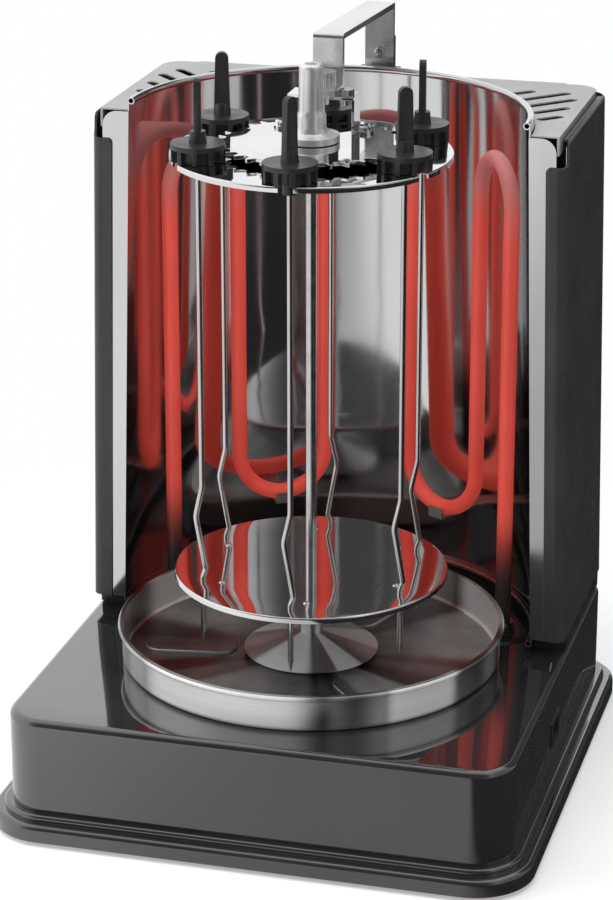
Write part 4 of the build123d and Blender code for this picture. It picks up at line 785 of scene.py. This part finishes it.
floor_radius = 6.0
floor_segments = 96
floor_drop = 0.2 * MM
floor_grey = (0.8, 0.8, 0.8, 1)
floor_lift = 0.3
shadow_reach = (0.17, 0.5)

# What gloss mirrors of the floor: across the left and the right, where it changes and from what to what
left_span, left_light = (-0.22, 0.03), (0.9, 0.52)
right_span, right_light = (0.105, 0.142), (1.0, 0.04)


def emission(tree, strength):
    """A plain white glow."""
    return put(tree, "ShaderNodeEmission", {"Color": WHITE, "Strength": strength}).outputs[0]


def either(tree, fac, first, second):
    """Two shaders mixed by a value."""
    return put(tree, "ShaderNodeMixShader", {0: fac, 1: first, 2: second}).outputs[0]


def floor_material():
    """A pale floor that keeps the shadow near the object and runs out into white.

    What gloss mirrors of it is brightest at the left, and dark close to the right wall and beyond.
    """
    material = bpy.data.materials.new("pale_floor")
    material.use_nodes = True
    tree = material.node_tree
    tree.nodes.remove(tree.nodes["Principled BSDF"])
    ray = put(tree, "ShaderNodeLightPath").outputs
    matt = put(tree, "ShaderNodeBsdfDiffuse", {"Color": floor_grey}).outputs[0]
    near = put(tree, "ShaderNodeAddShader", {0: matt, 1: emission(tree, floor_lift)}).outputs[0]
    away = ranged(tree, measured(tree, "LENGTH", place(tree)), *shadow_reach, 0.0, 1.0)
    seen = either(tree, away, near, emission(tree, 1.0))
    across = split(tree, place(tree))["X"]
    left = ranged(tree, across, *left_span, *left_light)
    right = ranged(tree, across, *right_span, *right_light)
    mirrored = emission(tree, maths(tree, "MULTIPLY", left, right))
    bounce = either(tree, ray["Is Camera Ray"], matt, seen)
    shown = either(tree, ray["Is Glossy Ray"], bounce, mirrored)
    tree.links.new(shown, tree.nodes["Material Output"].inputs["Surface"])
    return material


floor_mesh = bpy.data.meshes.new("floor")
floor_shape = bmesh.new()
bmesh.ops.create_circle(floor_shape, cap_ends=True, segments=floor_segments, radius=floor_radius)
floor_shape.to_mesh(floor_mesh)
floor_shape.free()
floor = bpy.data.objects.new("floor", floor_mesh)
floor.location.z = -floor_drop
floor_mesh.materials.append(floor_material())
bpy.context.scene.collection.objects.link(floor)

mirror_dimming = 0.93
right_share = 0.7
diffuse_loss = 0.62


def studio_world():
    """White behind the object; what gloss mirrors dims towards the front, the right and one rear corner."""
    world = bpy.data.worlds.new("studio")
    world.use_nodes = True
    tree = world.node_tree
    sky = tree.nodes["Background"]
    ray = put(tree, "ShaderNodeLightPath").outputs
    way = put(tree, "ShaderNodeTexCoord").outputs["Generated"]

    def towards(direction, start, stop):
        """One towards a direction, and nothing away from it."""
        along = measured(tree, "DOT_PRODUCT", way, Vector(direction).normalized())
        return ranged(tree, along, start, stop, 0.0, 1.0)

    front = towards((0.1, -0.9, 0.42), 0.45, 0.9)
    right = maths(tree, "MULTIPLY", towards((0.95, 0.1, 0.2), 0.5, 0.95), right_share)
    corner = towards((0.45, 0.8, 0.4), 0.86, 0.94)
    dim = maths(tree, "MAXIMUM", front, maths(tree, "MAXIMUM", corner, right))
    mirrored = maths(tree, "SUBTRACT", 1.0, maths(tree, "MULTIPLY", dim, mirror_dimming))
    plain = maths(tree, "SUBTRACT", 1.0, maths(tree, "MULTIPLY", ray["Is Diffuse Ray"], diffuse_loss))
    strength = put(tree, "ShaderNodeMix", {0: ray["Is Glossy Ray"], 2: plain, 3: mirrored}).outputs[0]
    tree.links.new(strength, sky.inputs["Strength"])
    sky.inputs["Color"].default_value = WHITE
    bpy.context.scene.world = world


studio_world()


def aimed(name, data, location, target):
    """Add a lamp or a camera that looks at a point."""
    holder = bpy.data.objects.new(name, data)
    holder.location = location
    way = Vector(target) - holder.location
    holder.rotation_euler = way.to_track_quat("-Z", "Y").to_euler()
    bpy.context.scene.collection.objects.link(holder)
    return holder


lamp_target = (0, 0, 0.2)


def lamp(name, location, size, power):
    """A soft lamp that looks at the grill; its own outline stays out of what the metal mirrors."""
    light = bpy.data.lights.new(name, "AREA")
    light.shape = "RECTANGLE"
    light.size, light.size_y = size
    light.energy = power
    aimed(name, light, location, lamp_target).visible_glossy = False


lamp("overhead", (-0.25, -0.25, 1.75), (2.3, 1.7), 27)
lamp("left", (-1.6, -0.7, 0.9), (0.8, 1.2), 12)
lamp("right", (1.3, -1.5, 0.8), (0.6, 0.9), 5)

camera_location = (0.3879, -1.4542, 0.7264)
camera_target = (-0.00394, -0.009, 0.18035)
camera_data = bpy.data.cameras.new("camera")
camera_data.lens = 120.66
camera_data.sensor_width = 36
camera_data.clip_end = 50
camera = aimed("camera", camera_data, camera_location, camera_target)
bpy.context.scene.camera = camera
bpy.context.scene.view_settings.view_transform = "Standard"
